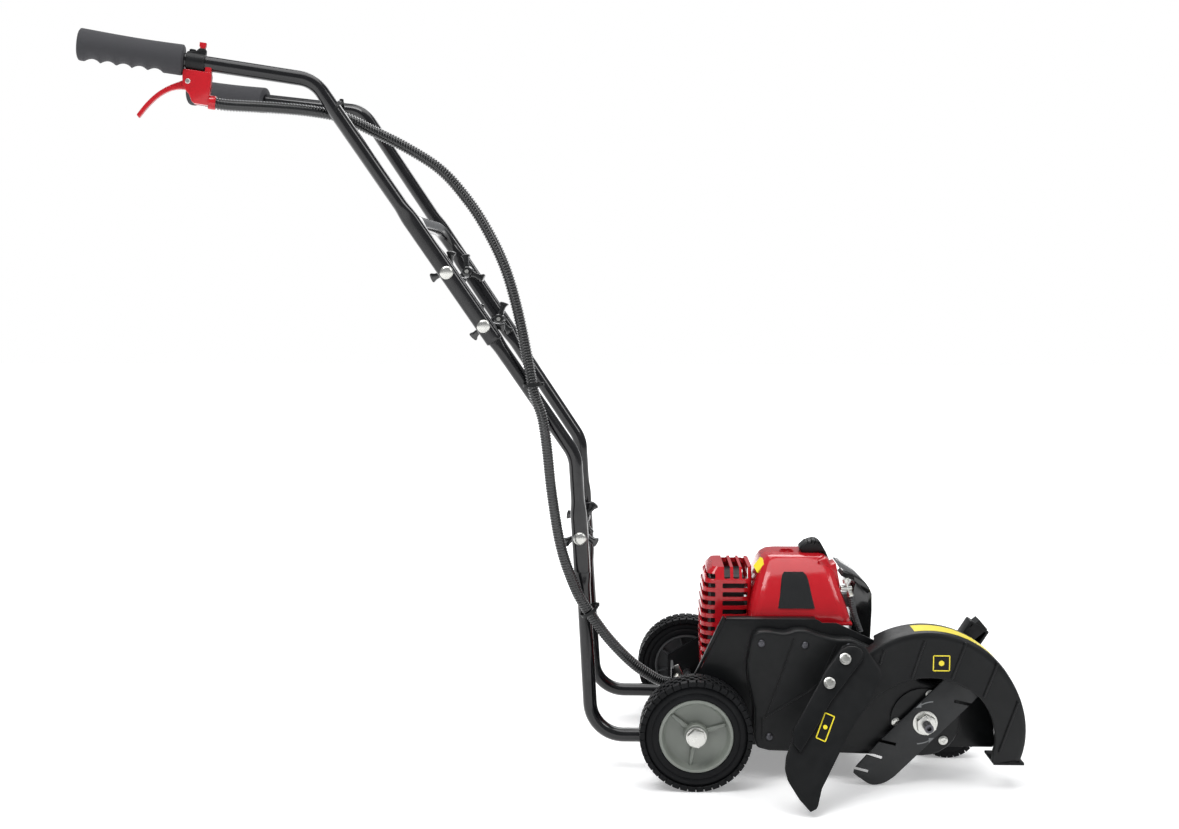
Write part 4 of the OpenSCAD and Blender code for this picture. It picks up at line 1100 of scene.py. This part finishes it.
class EDGER_OT_chassis(EdgerOperator):
    """Folds the right side plate with its flange and fits the lever's grip"""

    bl_idname = "edger.chassis"
    bl_label = "Side Plate"

    def execute(self, context):
        outline = [(-30, 46), (-30, 100), (6, 141), (40, 213), (44, 217), (163, 217), (168, 215),
                   (172, 212), (191, 212), (246, 187), (300, 187), (358, 168), (400, 120), (408, 45),
                   (404, 42), (-26, 42)]
        plate = extruded("side_plate", outline, side_plane, 114.6, 117.6, 0.7, 2)
        bores = [rod("bore", r, 100, 130, (x, 0, z), NEAR, 40)
                 for x, z, r in ((0, 75, 6.2), (CRANK.x, CRANK.z, 14), (SPINDLE.x, SPINDLE.z, 10.5),
                                 (262, 72, 6.1))]
        plate = carved(plate, bores)
        flange = block("flange", (43, -115, 213.5), (164, -100, 217), 1.2)
        rear = [(2, 134), (-1, 136), (38, 219), (42, 217)]
        edge = extruded("rear_flange", rear, side_plane, 108, 117.4, 0.8)
        done(joined("side_plate_right_finish", [plate, flange, edge]), "chassis", "satin_coat",
             ["side_plate_right"])

        def place(u, v, w):
            turn = math.radians(58)
            return Vector((406 + u * math.cos(turn) + v * math.sin(turn), w,
                           187 + u * math.sin(turn) - v * math.cos(turn)))

        rim = extruded("lever_grip", [(-30, -15.5), (0, -15.5), (0, 15.5), (-30, 15.5)],
                       place, -31, -4, 1.8, 3)
        rim = carved(rim, [extruded("hollow", [(-27, -12), (-3.4, -12), (-3.4, 12), (-27, 12)],
                                    place, -40, -14, 0)])
        done(rim, "front_arm", "grained_black")
        return {"FINISHED"}


class EDGER_OT_belt_cover(EdgerOperator):
    """Presses the belt cover with its wavy shoulder and raised lines"""

    bl_idname = "edger.belt_cover"
    bl_label = "Belt Cover"

    def execute(self, context):
        crest = smooth_line([(77, 200), (84, 205), (97, 206), (118, 203.5), (133, 207.5),
                             (149, 207), (166, 201), (188, 196), (208, 195), (224, 188)], 5)
        outline = crest + [(262, 172), (300, 140)] + arc((305, 87), 50, 80, -90, 12)
        outline += [(100, 42), (84, 46), (79, 60), (79, 100), (70, 140), (69, 160), (75, 194)]
        cover = extruded("cover", outline, side_plane, 117.8, 142.6, 6.5, 5)
        lines = [strip([(131, 197), (96, 92)], 2.2), strip([(187, 189), (160, 124)], 2.2),
                 strip([(94, 89), (140, 118), (186, 149)], 3.0), strip([(90, 88), (90, 60)], 2.0)]
        ridges = [extruded("ridge", s, side_plane, 141.5, 143.5, 0.8, 2) for s in lines]
        pads = [lathe("pad", [(0, 141), (5.6, 141), (5.8, 142.7), (5.2, 142.9), (0, 142.9)],
                      (x, 0, z), (0, -1, 0), 32) for x, z in COVER_SCREWS]
        bosses = []
        for x, z in FLAP_BOLTS:
            seat = flap_plane(x, -(FLAP_TOP.z - z) / math.cos(FLAP_LEAN), 0)
            reach = (-140 - seat.y) / -FLAP_OUT.y
            bosses.append(lathe("boss", [(0, -0.2), (7, -0.2), (9, -abs(reach)), (0, -abs(reach))],
                                seat, FLAP_OUT, 32))
        done(joined("belt_cover_finish", [cover, *ridges, *pads, *bosses]), "chassis",
             "grained_black", ["belt_cover"])
        return {"FINISHED"}


FLAP_OUTLINE = [(191.7, -4), (203, -0.8), (215, -1.4), (221, -6), (237.5, -33), (239.8, -40),
                (238.5, -47), (219.6, -79.6), (194.5, -115.4), (169, -162), (155.3, -187),
                (149.5, -208), (145.5, -214.3), (140, -215), (127, -200.5), (113, -177.4),
                (109.7, -163), (111.6, -147.7), (121.5, -122.5), (168, -35)]


class EDGER_OT_flap(EdgerOperator):
    """Rolls the deflector flap and bolts its bar on"""

    bl_idname = "edger.flap"
    bl_label = "Deflector Flap"

    @staticmethod
    def sheet_piece(name, outline, low, high, rows):
        """Plate on the flap plane, cut across in rows so that it can follow the curl."""
        top, bottom = max(p[1] for p in outline), min(p[1] for p in outline)
        rings = []
        for i in range(rows + 1):
            v = top - 0.01 + (bottom + 0.02 - top) * i / rows
            crossings = []
            for (ax, ay), (bx, by) in zip(outline, outline[1:] + outline[:1]):
                if (ay > v) != (by > v):
                    crossings.append((bx - ax) * (v - ay) / (by - ay) + ax)
            left, right = min(crossings), max(crossings)
            cols = 14
            front = [flap_plane(left + (right - left) * k / cols, v, high) for k in range(cols + 1)]
            back = [flap_plane(left + (right - left) * k / cols, v, low) for k in range(cols + 1)]
            rings.append(front + back[::-1])
        return loft(name, rings)

    def execute(self, context):
        flap = bevelled(self.sheet_piece("deflector_flap_finish", FLAP_OUTLINE, 0, 2.5, 60), 0.6, 2, 50)
        done(flap, "chassis", "grained_black", ["deflector_flap"], 40)
        bar = [(129.6, -142.5), (121.5, -132), (121.5, -115), (149.6, -67.4), (167.8, -37.4),
               (189, -10), (197, -5.8), (206, -5.4), (214, -8.5), (217.3, -15), (216.5, -22),
               (172, -77.5), (152.8, -108.3)]
        bar = extruded("flap_bar_finish", bar, flap_plane, 2.6, 7.6, 1.2, 3)
        done(bar, "chassis", "satin_coat", ["flap_bar"])
        frame_line = [(164.2, -91.4), (175.8, -96.4), (162.4, -128), (151, -123)]
        marks = [strip([a, b], 1.5) for a, b in zip(frame_line, frame_line[1:] + frame_line[:1])]
        marks.append(arc((163.4, -109.7), 2.8, 0, 345, 23))
        marks = [extruded("mark", s, flap_plane, 2.3, 2.8) for s in marks]
        done(joined("flap_label", marks), "chassis", "label_ink")
        return {"FINISHED"}


class EDGER_OT_guard(EdgerOperator):
    """Moulds the half-round blade guard with ribs and plain labels"""

    bl_idname = "edger.guard"
    bl_label = "Blade Guard"

    def execute(self, context):
        cx, cz = SPINDLE.x, SPINDLE.z
        outer = 126
        arch = ((-31, 101), (-22, 95), (-15, 94), (-3, 90), (16, 83.5), (29, 79.5), (49, 71.5),
                (67, 68), (90, 65.5), (111, 66.5), (125, 69), (147, 77), (169, 88))

        def point(r, a, y):
            return Vector((cx + r * math.cos(a), -y, cz + r * math.sin(a)))

        rings = []
        for i in range(97):
            a0, a1 = -29 + 197 * i / 96, -21.3 + 189.3 * i / 96
            r0 = between(arch, a0)
            r1 = outer + 7 * eased((35 - a1) / 55)
            back = 118.5 if a1 < 121 else 143.8
            face = [(r0 + 0.4, 160), (r0 - 1.2, 161), (r0 - 1.5, 167), (r0 - 0.4, 168.4),
                    (r0 + 1.6, 168.4), (r0 + 3, 168), (r1 - 9, 168), (r1 - 4, 167.2),
                    (r1 - 1.2, 164.8), (r1, 160.5), (r1, back), (r1 - 3, back),
                    (r1 - 3, 161), (r1 - 6, 165), (r0 + 1.6, 165)]
            rings.append([point(r, math.radians(a0 if r < r0 + 5 else a1), y) for r, y in face])
        shell = loft("guard_shell", rings)
        lines = [((299, 203), (283.4, 152)), ((352.7, 200), (335.7, 151)), ((395, 174), (378, 127)),
                 ((423, 122), (400, 52)), ((246, 189), (241, 170))]
        ribs = []
        for (x1, z1), (x2, z2) in lines:
            ribs.append(extruded("rib", strip([(x1, z1), ((x1 + x2) / 2, (z1 + z2) / 2), (x2, z2)], 3.4),
                                 side_plane, 166.5, 170, 1.2, 2))
        foot = [block("foot", (393, -168.6, 34.8), (433.5, -119, 38.6), 1.2)]
        done(joined("blade_guard_finish", [shell, *ribs, *foot]), "chassis", "grained_black",
             ["blade_guard"])
        strip_rings = []
        for i in range(31):
            a = math.radians(46 + 52 * i / 30)
            strip_rings.append([point(r, a, y) for r, y in ((outer - 0.5, 158), (outer + 0.25, 158),
                                                            (outer + 0.25, 128), (outer - 0.5, 128))])
        done(loft("guard_strip", strip_rings), "chassis", "label_ink")
        frame_line = [(311, 182), (332, 182), (332, 162), (311, 162)]
        marks = [strip([a, b], 1.4) for a, b in zip(frame_line, frame_line[1:] + frame_line[:1])]
        marks.append(arc((321.5, 172), 3.6, 0, 345, 23))
        marks = [extruded("mark", s, side_plane, 167.8, 168.25) for s in marks]
        done(joined("guard_label", marks), "chassis", "label_ink")
        return {"FINISHED"}


class EDGER_OT_blade(EdgerOperator):
    """Cuts the blade with its slotted ends and turning arrows"""

    bl_idname = "edger.blade"
    bl_label = "Blade"

    def execute(self, context):
        angle = math.radians(45)

        def on_blade(u, v, w):
            return side_plane(SPINDLE.x + u * math.cos(angle) - v * math.sin(angle),
                              SPINDLE.z + u * math.sin(angle) + v * math.cos(angle), w)

        tip = smooth_line([(112, 6), (109, 12.5), (102, 18.5), (92, 23), (80, 25)], 3)
        end = [(60, -24), (110, -20.5), (115.5, -16.5), (115, -10)] + tip
        slots = [((-64, 31), (-48, 5.5)), ((-88, 31), (-74, 4.5)), ((-115, 29), (-100, 4))]
        outline = [(u, v) for u, v in end] + [(-u, -v) for u, v in end]
        blade = extruded("blade_plate", outline, on_blade, 151, 154, 0.5, 2)
        cuts = []
        for flip in (1, -1):
            for s in slots:
                line = strip([(flip * u, flip * v) for u, v in s], 4.2)
                cuts.append(extruded("cut", line, on_blade, 148, 157))
        cuts.append(spindle_bore(148, 158))
        blade = carved(blade, cuts)
        done(blade, "spindle", "blade_paint", ["blade"])
        marks = []
        for flip in (1, -1):
            body = arc((0, 0), 37, 20, 52, 8)
            tip = body[-1]
            head = [(tip[0] + 3.4, tip[1] + 2.6), (tip[0] - 7, tip[1] + 5.5), (tip[0] - 3.4, tip[1] - 3.6)]
            for shape in (strip(body, 2.2), head):
                turned = [(flip * (u * 0.97 - v * 0.26), flip * (u * 0.26 + v * 0.97)) for u, v in shape]
                shifted = [(u * 0.9, v * 0.62) for u, v in turned]
                marks.append(extruded("mark", shifted, on_blade, 153.8, 154.12))
        done(joined("blade_arrows", marks), "spindle", "mark_ink")
        return {"FINISHED"}


def ring_at(z, x0, x1, y0, y1, corner, steps=3):
    """Rounded rectangle at height z, as a ring of points."""
    ring = []
    for cx, cy, start in ((x1 - corner, y1 - corner, 0), (x0 + corner, y1 - corner, 90),
                          (x0 + corner, y0 + corner, 180), (x1 - corner, y0 + corner, 270)):
        ring += [Vector((x, y, z)) for x, y in arc((cx, cy), corner, start, start + 90, steps)]
    return ring


class EDGER_OT_top_cover(EdgerOperator):
    """Moulds the red engine cover, its badge, hole and spark plug boot"""

    bl_idname = "edger.top_cover"
    bl_label = "Top Cover"

    def execute(self, context):
        levels = ((203, 77, 215, -95, 58, 12), (212, 77, 214, -95, 58, 12),
                  (224, 78, 211, -94, 57, 14), (244, 82, 205, -88, 53, 16),
                  (268, 88, 199, -77, 46, 17), (284, 93, 195, -67, 39, 17),
                  (294, 98, 190, -57, 31, 16), (299, 104, 184, -50, 24, 14),
                  (300.5, 110, 178, -44, 18, 12))
        levels = [(216 + (z - 216) * (0.88 if z > 216 else 1), *rest) for z, *rest in levels]
        shell = loft("cover_shell", [ring_at(*level) for level in levels])
        shell = bevelled(shell, 0.8, 2, 14)
        hole = rod("hole", 8.6, -12, 8, (134, -15, 290), UP, 40)
        boot_seat = rod("seat", 11, -20, 8, (170, -15, 290), UP, 40)
        pocket = block("pocket", (195, -60, 205), (222, 30, 246), 3)
        shell = carved(shell, [hole, boot_seat, pocket])
        wing = [(172, 286), (184, 290), (190, 280), (197.5, 283), (200.7, 266), (203.7, 251),
                (201.5, 242), (205.4, 233), (208, 203), (199, 203), (193, 240), (186, 262)]
        side = extruded("ridge", wing, side_plane, 30, 62, 2, 3)
        lip = block("lip", (76, -96.5, 203), (216, 59, 207), 1.2)
        rim = lathe("hole_rim", [(8.6, -2), (10.2, -2), (10.2, 1.1), (9.4, 1.6), (8.6, 1.1)],
                    (134, -15, 290.3), UP, 48)
        done(joined("top_cover_finish", [shell, side, lip, rim]), "chassis", "red_gloss",
             ["top_cover"], 24)

        def on_face(u, v, w):
            """Point on the sloped near face; v is the height."""
            slope = between([(level[0], level[3]) for level in levels], v)
            return Vector((u, slope - w, v))

        left = ((226, 115), (244, 118), (262, 120.5), (268, 122), (272, 125))
        right = ((226, 165), (244, 161), (262, 157.5), (268, 155.5), (272, 151))
        rings = []
        for z, x in left:
            across = between(right, z)
            rings.append([on_face(x, z, -3), on_face(x, z, 0.4), on_face(x + 1.5, z, 1.7),
                          on_face(across - 1.5, z, 1.7), on_face(across, z, 0.4),
                          on_face(across, z, -3)])
        plate = loft("badge_plate", rings)
        done(plate, "chassis", "gloss_black")
        patch = [Vector((85.5, -48, 275)), Vector((95, -44, 287)), Vector((99, -56, 279)),
                 Vector((89.5, -60, 268))]
        inward = Vector((0.75, 0.45, -0.4))
        done(loft("cover_patch", [[p - 1.2 * inward for p in patch], [p + 3 * inward for p in patch]]),
             "chassis", "label_ink")
        cap = [(150, 297), (159.5, 305.5), (169.5, 309), (176.5, 308.5), (180.5, 305), (188.5, 291),
               (176, 290.5), (164, 286.5), (154, 289)]
        cap = extruded("boot_cap", cap, side_plane, 1, 29, 3.5, 4)
        grooves = [turned_block("groove", (158 + 5 * k, -15, 308 - 0.1 * k * k), (1.1, 40, 9),
                                math.radians(20), 0) for k in range(5)]
        cap = carved(cap, grooves)
        tail = [(181, 303), (188, 292), (197, 271.5), (193.5, 270), (185, 288), (178, 298)]
        tail = extruded("boot_tail", tail, side_plane, 3, 27, 1.5, 2)
        done(joined("plug_boot_finish", [cap, tail]), "chassis", "grained_black",
             ["plug_boot"], 50)
        return {"FINISHED"}


class EDGER_OT_exhaust_guard(EdgerOperator):
    """Moulds the red slotted guard around the muffler"""

    bl_idname = "edger.exhaust_guard"
    bl_label = "Exhaust Guard"

    def execute(self, context):
        pitch = self.sizes.slot_pitch / MM

        def shell_rings(inset, low):
            levels = ((low, 14, 16), (150, 12, 16), (200, 11, 16), (244, 14, 15), (258, 17, 13),
                      (268, 21, 11), (274.5, 28, 8))
            rings = []
            for z, x0, corner in levels:
                lift = inset if z > 262 else 0
                slope = max(0, (z - 258) * 0.6)
                rings.append(ring_at(z - lift, x0 + inset, 82, -62 + inset + slope,
                                     38 - inset - slope, corner, 5))
            return rings

        shell = loft("guard_shell", shell_rings(0, 118))
        cuts = [loft("hollow", shell_rings(2.6, 110))]
        for k in range(8):
            z = 249.5 - k * pitch
            cuts.append(block("slot", (41, -75, z - 3.6), (76, -40, z + 3.6), 1.4))
            cuts.append(block("slot", (41, 20, z - 3.6), (76, 60, z + 3.6), 1.4))
        for x in (47.5, 60.2, 72.2):
            cuts.append(block("slot", (x - 4.2, -75, 259), (x + 4.2, 30, 300), 1.4))
        for k in range(10):
            z = 262 - k * pitch
            cuts.append(block("slot", (-2, -75, z - 3.4), (31, -13, z + 3.4), 1.2))
            cuts.append(block("slot", (-2, -9, z - 3.4), (31, 32, z + 3.4), 1.2))
        shell = carved(shell, cuts)
        done(shell, "chassis", "red_gloss", ["exhaust_guard"], 30)
        return {"FINISHED"}


class EDGER_OT_intake(EdgerOperator):
    """Moulds the air cleaner and fits the throttle linkage beside it"""

    bl_idname = "edger.intake"
    bl_label = "Intake"

    def execute(self, context):
        outline = [(222, 168), (222, 240), (225, 252), (231, 257), (238, 254.5), (245, 247),
                   (249.5, 237), (250, 214), (248.5, 170), (246, 168)]
        box = extruded("cleaner", outline, upright_plane, -52, 40, 4, 4)
        step = [(212, 263), (206.5, 270), (208, 271.5), (214, 270), (230, 262.5), (241, 252.5),
                (248, 241), (243, 238), (232, 248), (222, 258)]
        lid = extruded("cleaner_lid", step, upright_plane, -54, 36, 1.4, 3)
        done(joined("air_cleaner_finish", [box, lid]), "chassis", "gloss_black",
             ["air_cleaner"], 40)
        bracket = extruded("intake_bracket", [(205, 264), (209, 268), (224, 264), (224, 258), (212, 260)],
                           upright_plane, -56, -20, 0.8)
        done(bracket, "chassis", "satin_coat")
        route = [Vector((231, -70, 189)), Vector((225.5, -70, 204)), Vector((221, -70, 219)),
                 Vector((217.6, -70, 237))]
        sleeve = ribbed("linkage_sleeve", [Vector(p) for p in smooth_line(route, 6)], 4.6, 3.0, 1.0,
                        "spring_grey")
        done(sleeve, "chassis", "spring_grey", (), 80)
        nut = hex_head(8, 8, 5.2)
        nut = repeated("linkage_nut", nut, [(Vector((217, -70, 238)), Vector((-0.3, 0, 1)),
                                             Vector((1, 0, 0)))], "zinc_plate")
        stem = lathe("linkage_stem", [(0, -6), (2, -6), (2, 12), (4.5, 13), (4.5, 18), (0, 18)],
                     (214.5, -70, 245), (-0.3, 0, 1), 24)
        arm = block("linkage_arm", (203, -72, 246), (219, -62, 252), 1.5)
        done(joined("throttle_linkage", [nut, stem, arm]), "chassis", "zinc_plate")
        return {"FINISHED"}


SENSOR_W = 36
LENS = 41.74
CAMERA_AT = (-0.08625, -1.936, 0.6716)
CAMERA_TILT = 84.422
CAMERA_PAN = 1.772
LAMP_AIM = (-0.15, 0, 0.4)
# Name, place and size in metres, and power in watts.
LAMPS = (("key", (-1.4, -1.6, 3.4), 1.4, 55), ("fill", (2.4, -1.4, 2.6), 1.2, 26),
         ("back", (0.4, 2.6, 2.8), 2.4, 60), ("top", (0.0, -0.4, 3.6), 2.6, 60))


class EDGER_OT_stage(EdgerOperator):
    """Lays a pale floor that glows as painted light, faintly near the machine and fully white further off,
    and sets soft studio light and the camera
    """

    bl_idname = "edger.stage"
    bl_label = "Stage"

    def execute(self, context):
        scene = context.scene
        floor = new_object("floor", [(-9000, -9000, 0), (9000, -9000, 0), (9000, 9000, 0),
                                     (-9000, 9000, 0)], [(0, 1, 2, 3)])
        paint = make_finish("pale_floor", (0.88, 0.88, 0.88), 0.7, grain=0.0, mottle=0.01)
        tree = paint.node_tree
        glow = tree.nodes["Principled BSDF"].inputs
        glow["Emission Color"].default_value = (1, 1, 1, 1)
        # Painted light: the floor glows faintly near the machine and up to plain white further away, where
        # the lamps light it less.
        away = tree.nodes.new("ShaderNodeVectorMath")
        away.operation = "LENGTH"
        painted_floor_glow = tree.nodes.new("ShaderNodeMapRange")
        for label, value in (("From Min", 0.9), ("From Max", 2.6), ("To Min", 0.28), ("To Max", 1.0)):
            painted_floor_glow.inputs[label].default_value = value
        place = tree.nodes.new("ShaderNodeTexCoord")
        tree.links.new(place.outputs["Object"], away.inputs[0])
        tree.links.new(away.outputs["Value"], painted_floor_glow.inputs["Value"])
        tree.links.new(painted_floor_glow.outputs["Result"], glow["Emission Strength"])
        floor.data.materials.append(paint)
        world = bpy.data.worlds.new("studio")
        world.use_nodes = True
        tree = world.node_tree
        light = tree.nodes["Background"]
        light.inputs["Color"].default_value = (0.95, 0.97, 1, 1)
        light.inputs["Strength"].default_value = 0.32
        paper = tree.nodes.new("ShaderNodeBackground")
        paper.inputs["Color"].default_value = (1, 1, 1, 1)
        paper.inputs["Strength"].default_value = 1.0
        seen = tree.nodes.new("ShaderNodeLightPath")
        mix = tree.nodes.new("ShaderNodeMixShader")
        tree.links.new(seen.outputs["Is Camera Ray"], mix.inputs[0])
        tree.links.new(light.outputs["Background"], mix.inputs[1])
        tree.links.new(paper.outputs["Background"], mix.inputs[2])
        tree.links.new(mix.outputs["Shader"], tree.nodes["World Output"].inputs["Surface"])
        scene.world = world
        scene.view_settings.view_transform = "Standard"
        for name, place, size, watts in LAMPS:
            data = bpy.data.lights.new(name, "AREA")
            data.size = size
            data.energy = watts
            lamp = bpy.data.objects.new(name, data)
            lamp.location = place
            aim = Vector(LAMP_AIM) - lamp.location
            lamp.rotation_euler = aim.to_track_quat("-Z", "Y").to_euler()
            scene.collection.objects.link(lamp)
        data = bpy.data.cameras.new("view")
        data.sensor_width = SENSOR_W
        data.lens = LENS
        camera = bpy.data.objects.new("view", data)
        camera.location = CAMERA_AT
        camera.rotation_euler = (math.radians(CAMERA_TILT), 0, math.radians(CAMERA_PAN))
        scene.collection.objects.link(camera)
        scene.camera = camera
        return {"FINISHED"}


class EDGER_PT_panel(bpy.types.Panel):
    """Lists the building steps and their settings"""

    bl_idname = "EDGER_PT_panel"
    bl_label = "Lawn Edger"
    bl_space_type = "VIEW_3D"
    bl_region_type = "UI"
    bl_category = "Lawn Edger"

    def draw(self, context):
        for group in (context.scene.edger_colours, context.scene.edger_sizes):
            for name in group.__annotations__:
                self.layout.prop(group, name)
        for step in STEPS:
            self.layout.operator(step.bl_idname)


STEPS = (EDGER_OT_stage, EDGER_OT_finishes, EDGER_OT_handle_tubes, EDGER_OT_grips, EDGER_OT_knobs,
         EDGER_OT_fasteners, EDGER_OT_throttle, EDGER_OT_conduit, EDGER_OT_tyres, EDGER_OT_hubs,
         EDGER_OT_chassis, EDGER_OT_belt_cover, EDGER_OT_flap, EDGER_OT_guard, EDGER_OT_blade,
         EDGER_OT_top_cover, EDGER_OT_exhaust_guard, EDGER_OT_intake)
GROUPS = (EdgerColours, EdgerSizes)


def register():
    for cls in (*GROUPS, *STEPS, EDGER_PT_panel):
        bpy.utils.register_class(cls)
    bpy.types.Scene.edger_colours = PointerProperty(type=EdgerColours)
    bpy.types.Scene.edger_sizes = PointerProperty(type=EdgerSizes)


def unregister():
    del bpy.types.Scene.edger_sizes
    del bpy.types.Scene.edger_colours
    for cls in reversed((*GROUPS, *STEPS, EDGER_PT_panel)):
        bpy.utils.unregister_class(cls)


def main():
    register()
    for step in STEPS:
        group, name = step.bl_idname.split(".")
        getattr(getattr(bpy.ops, group), name)()


if __name__ == "__main__":
    main()
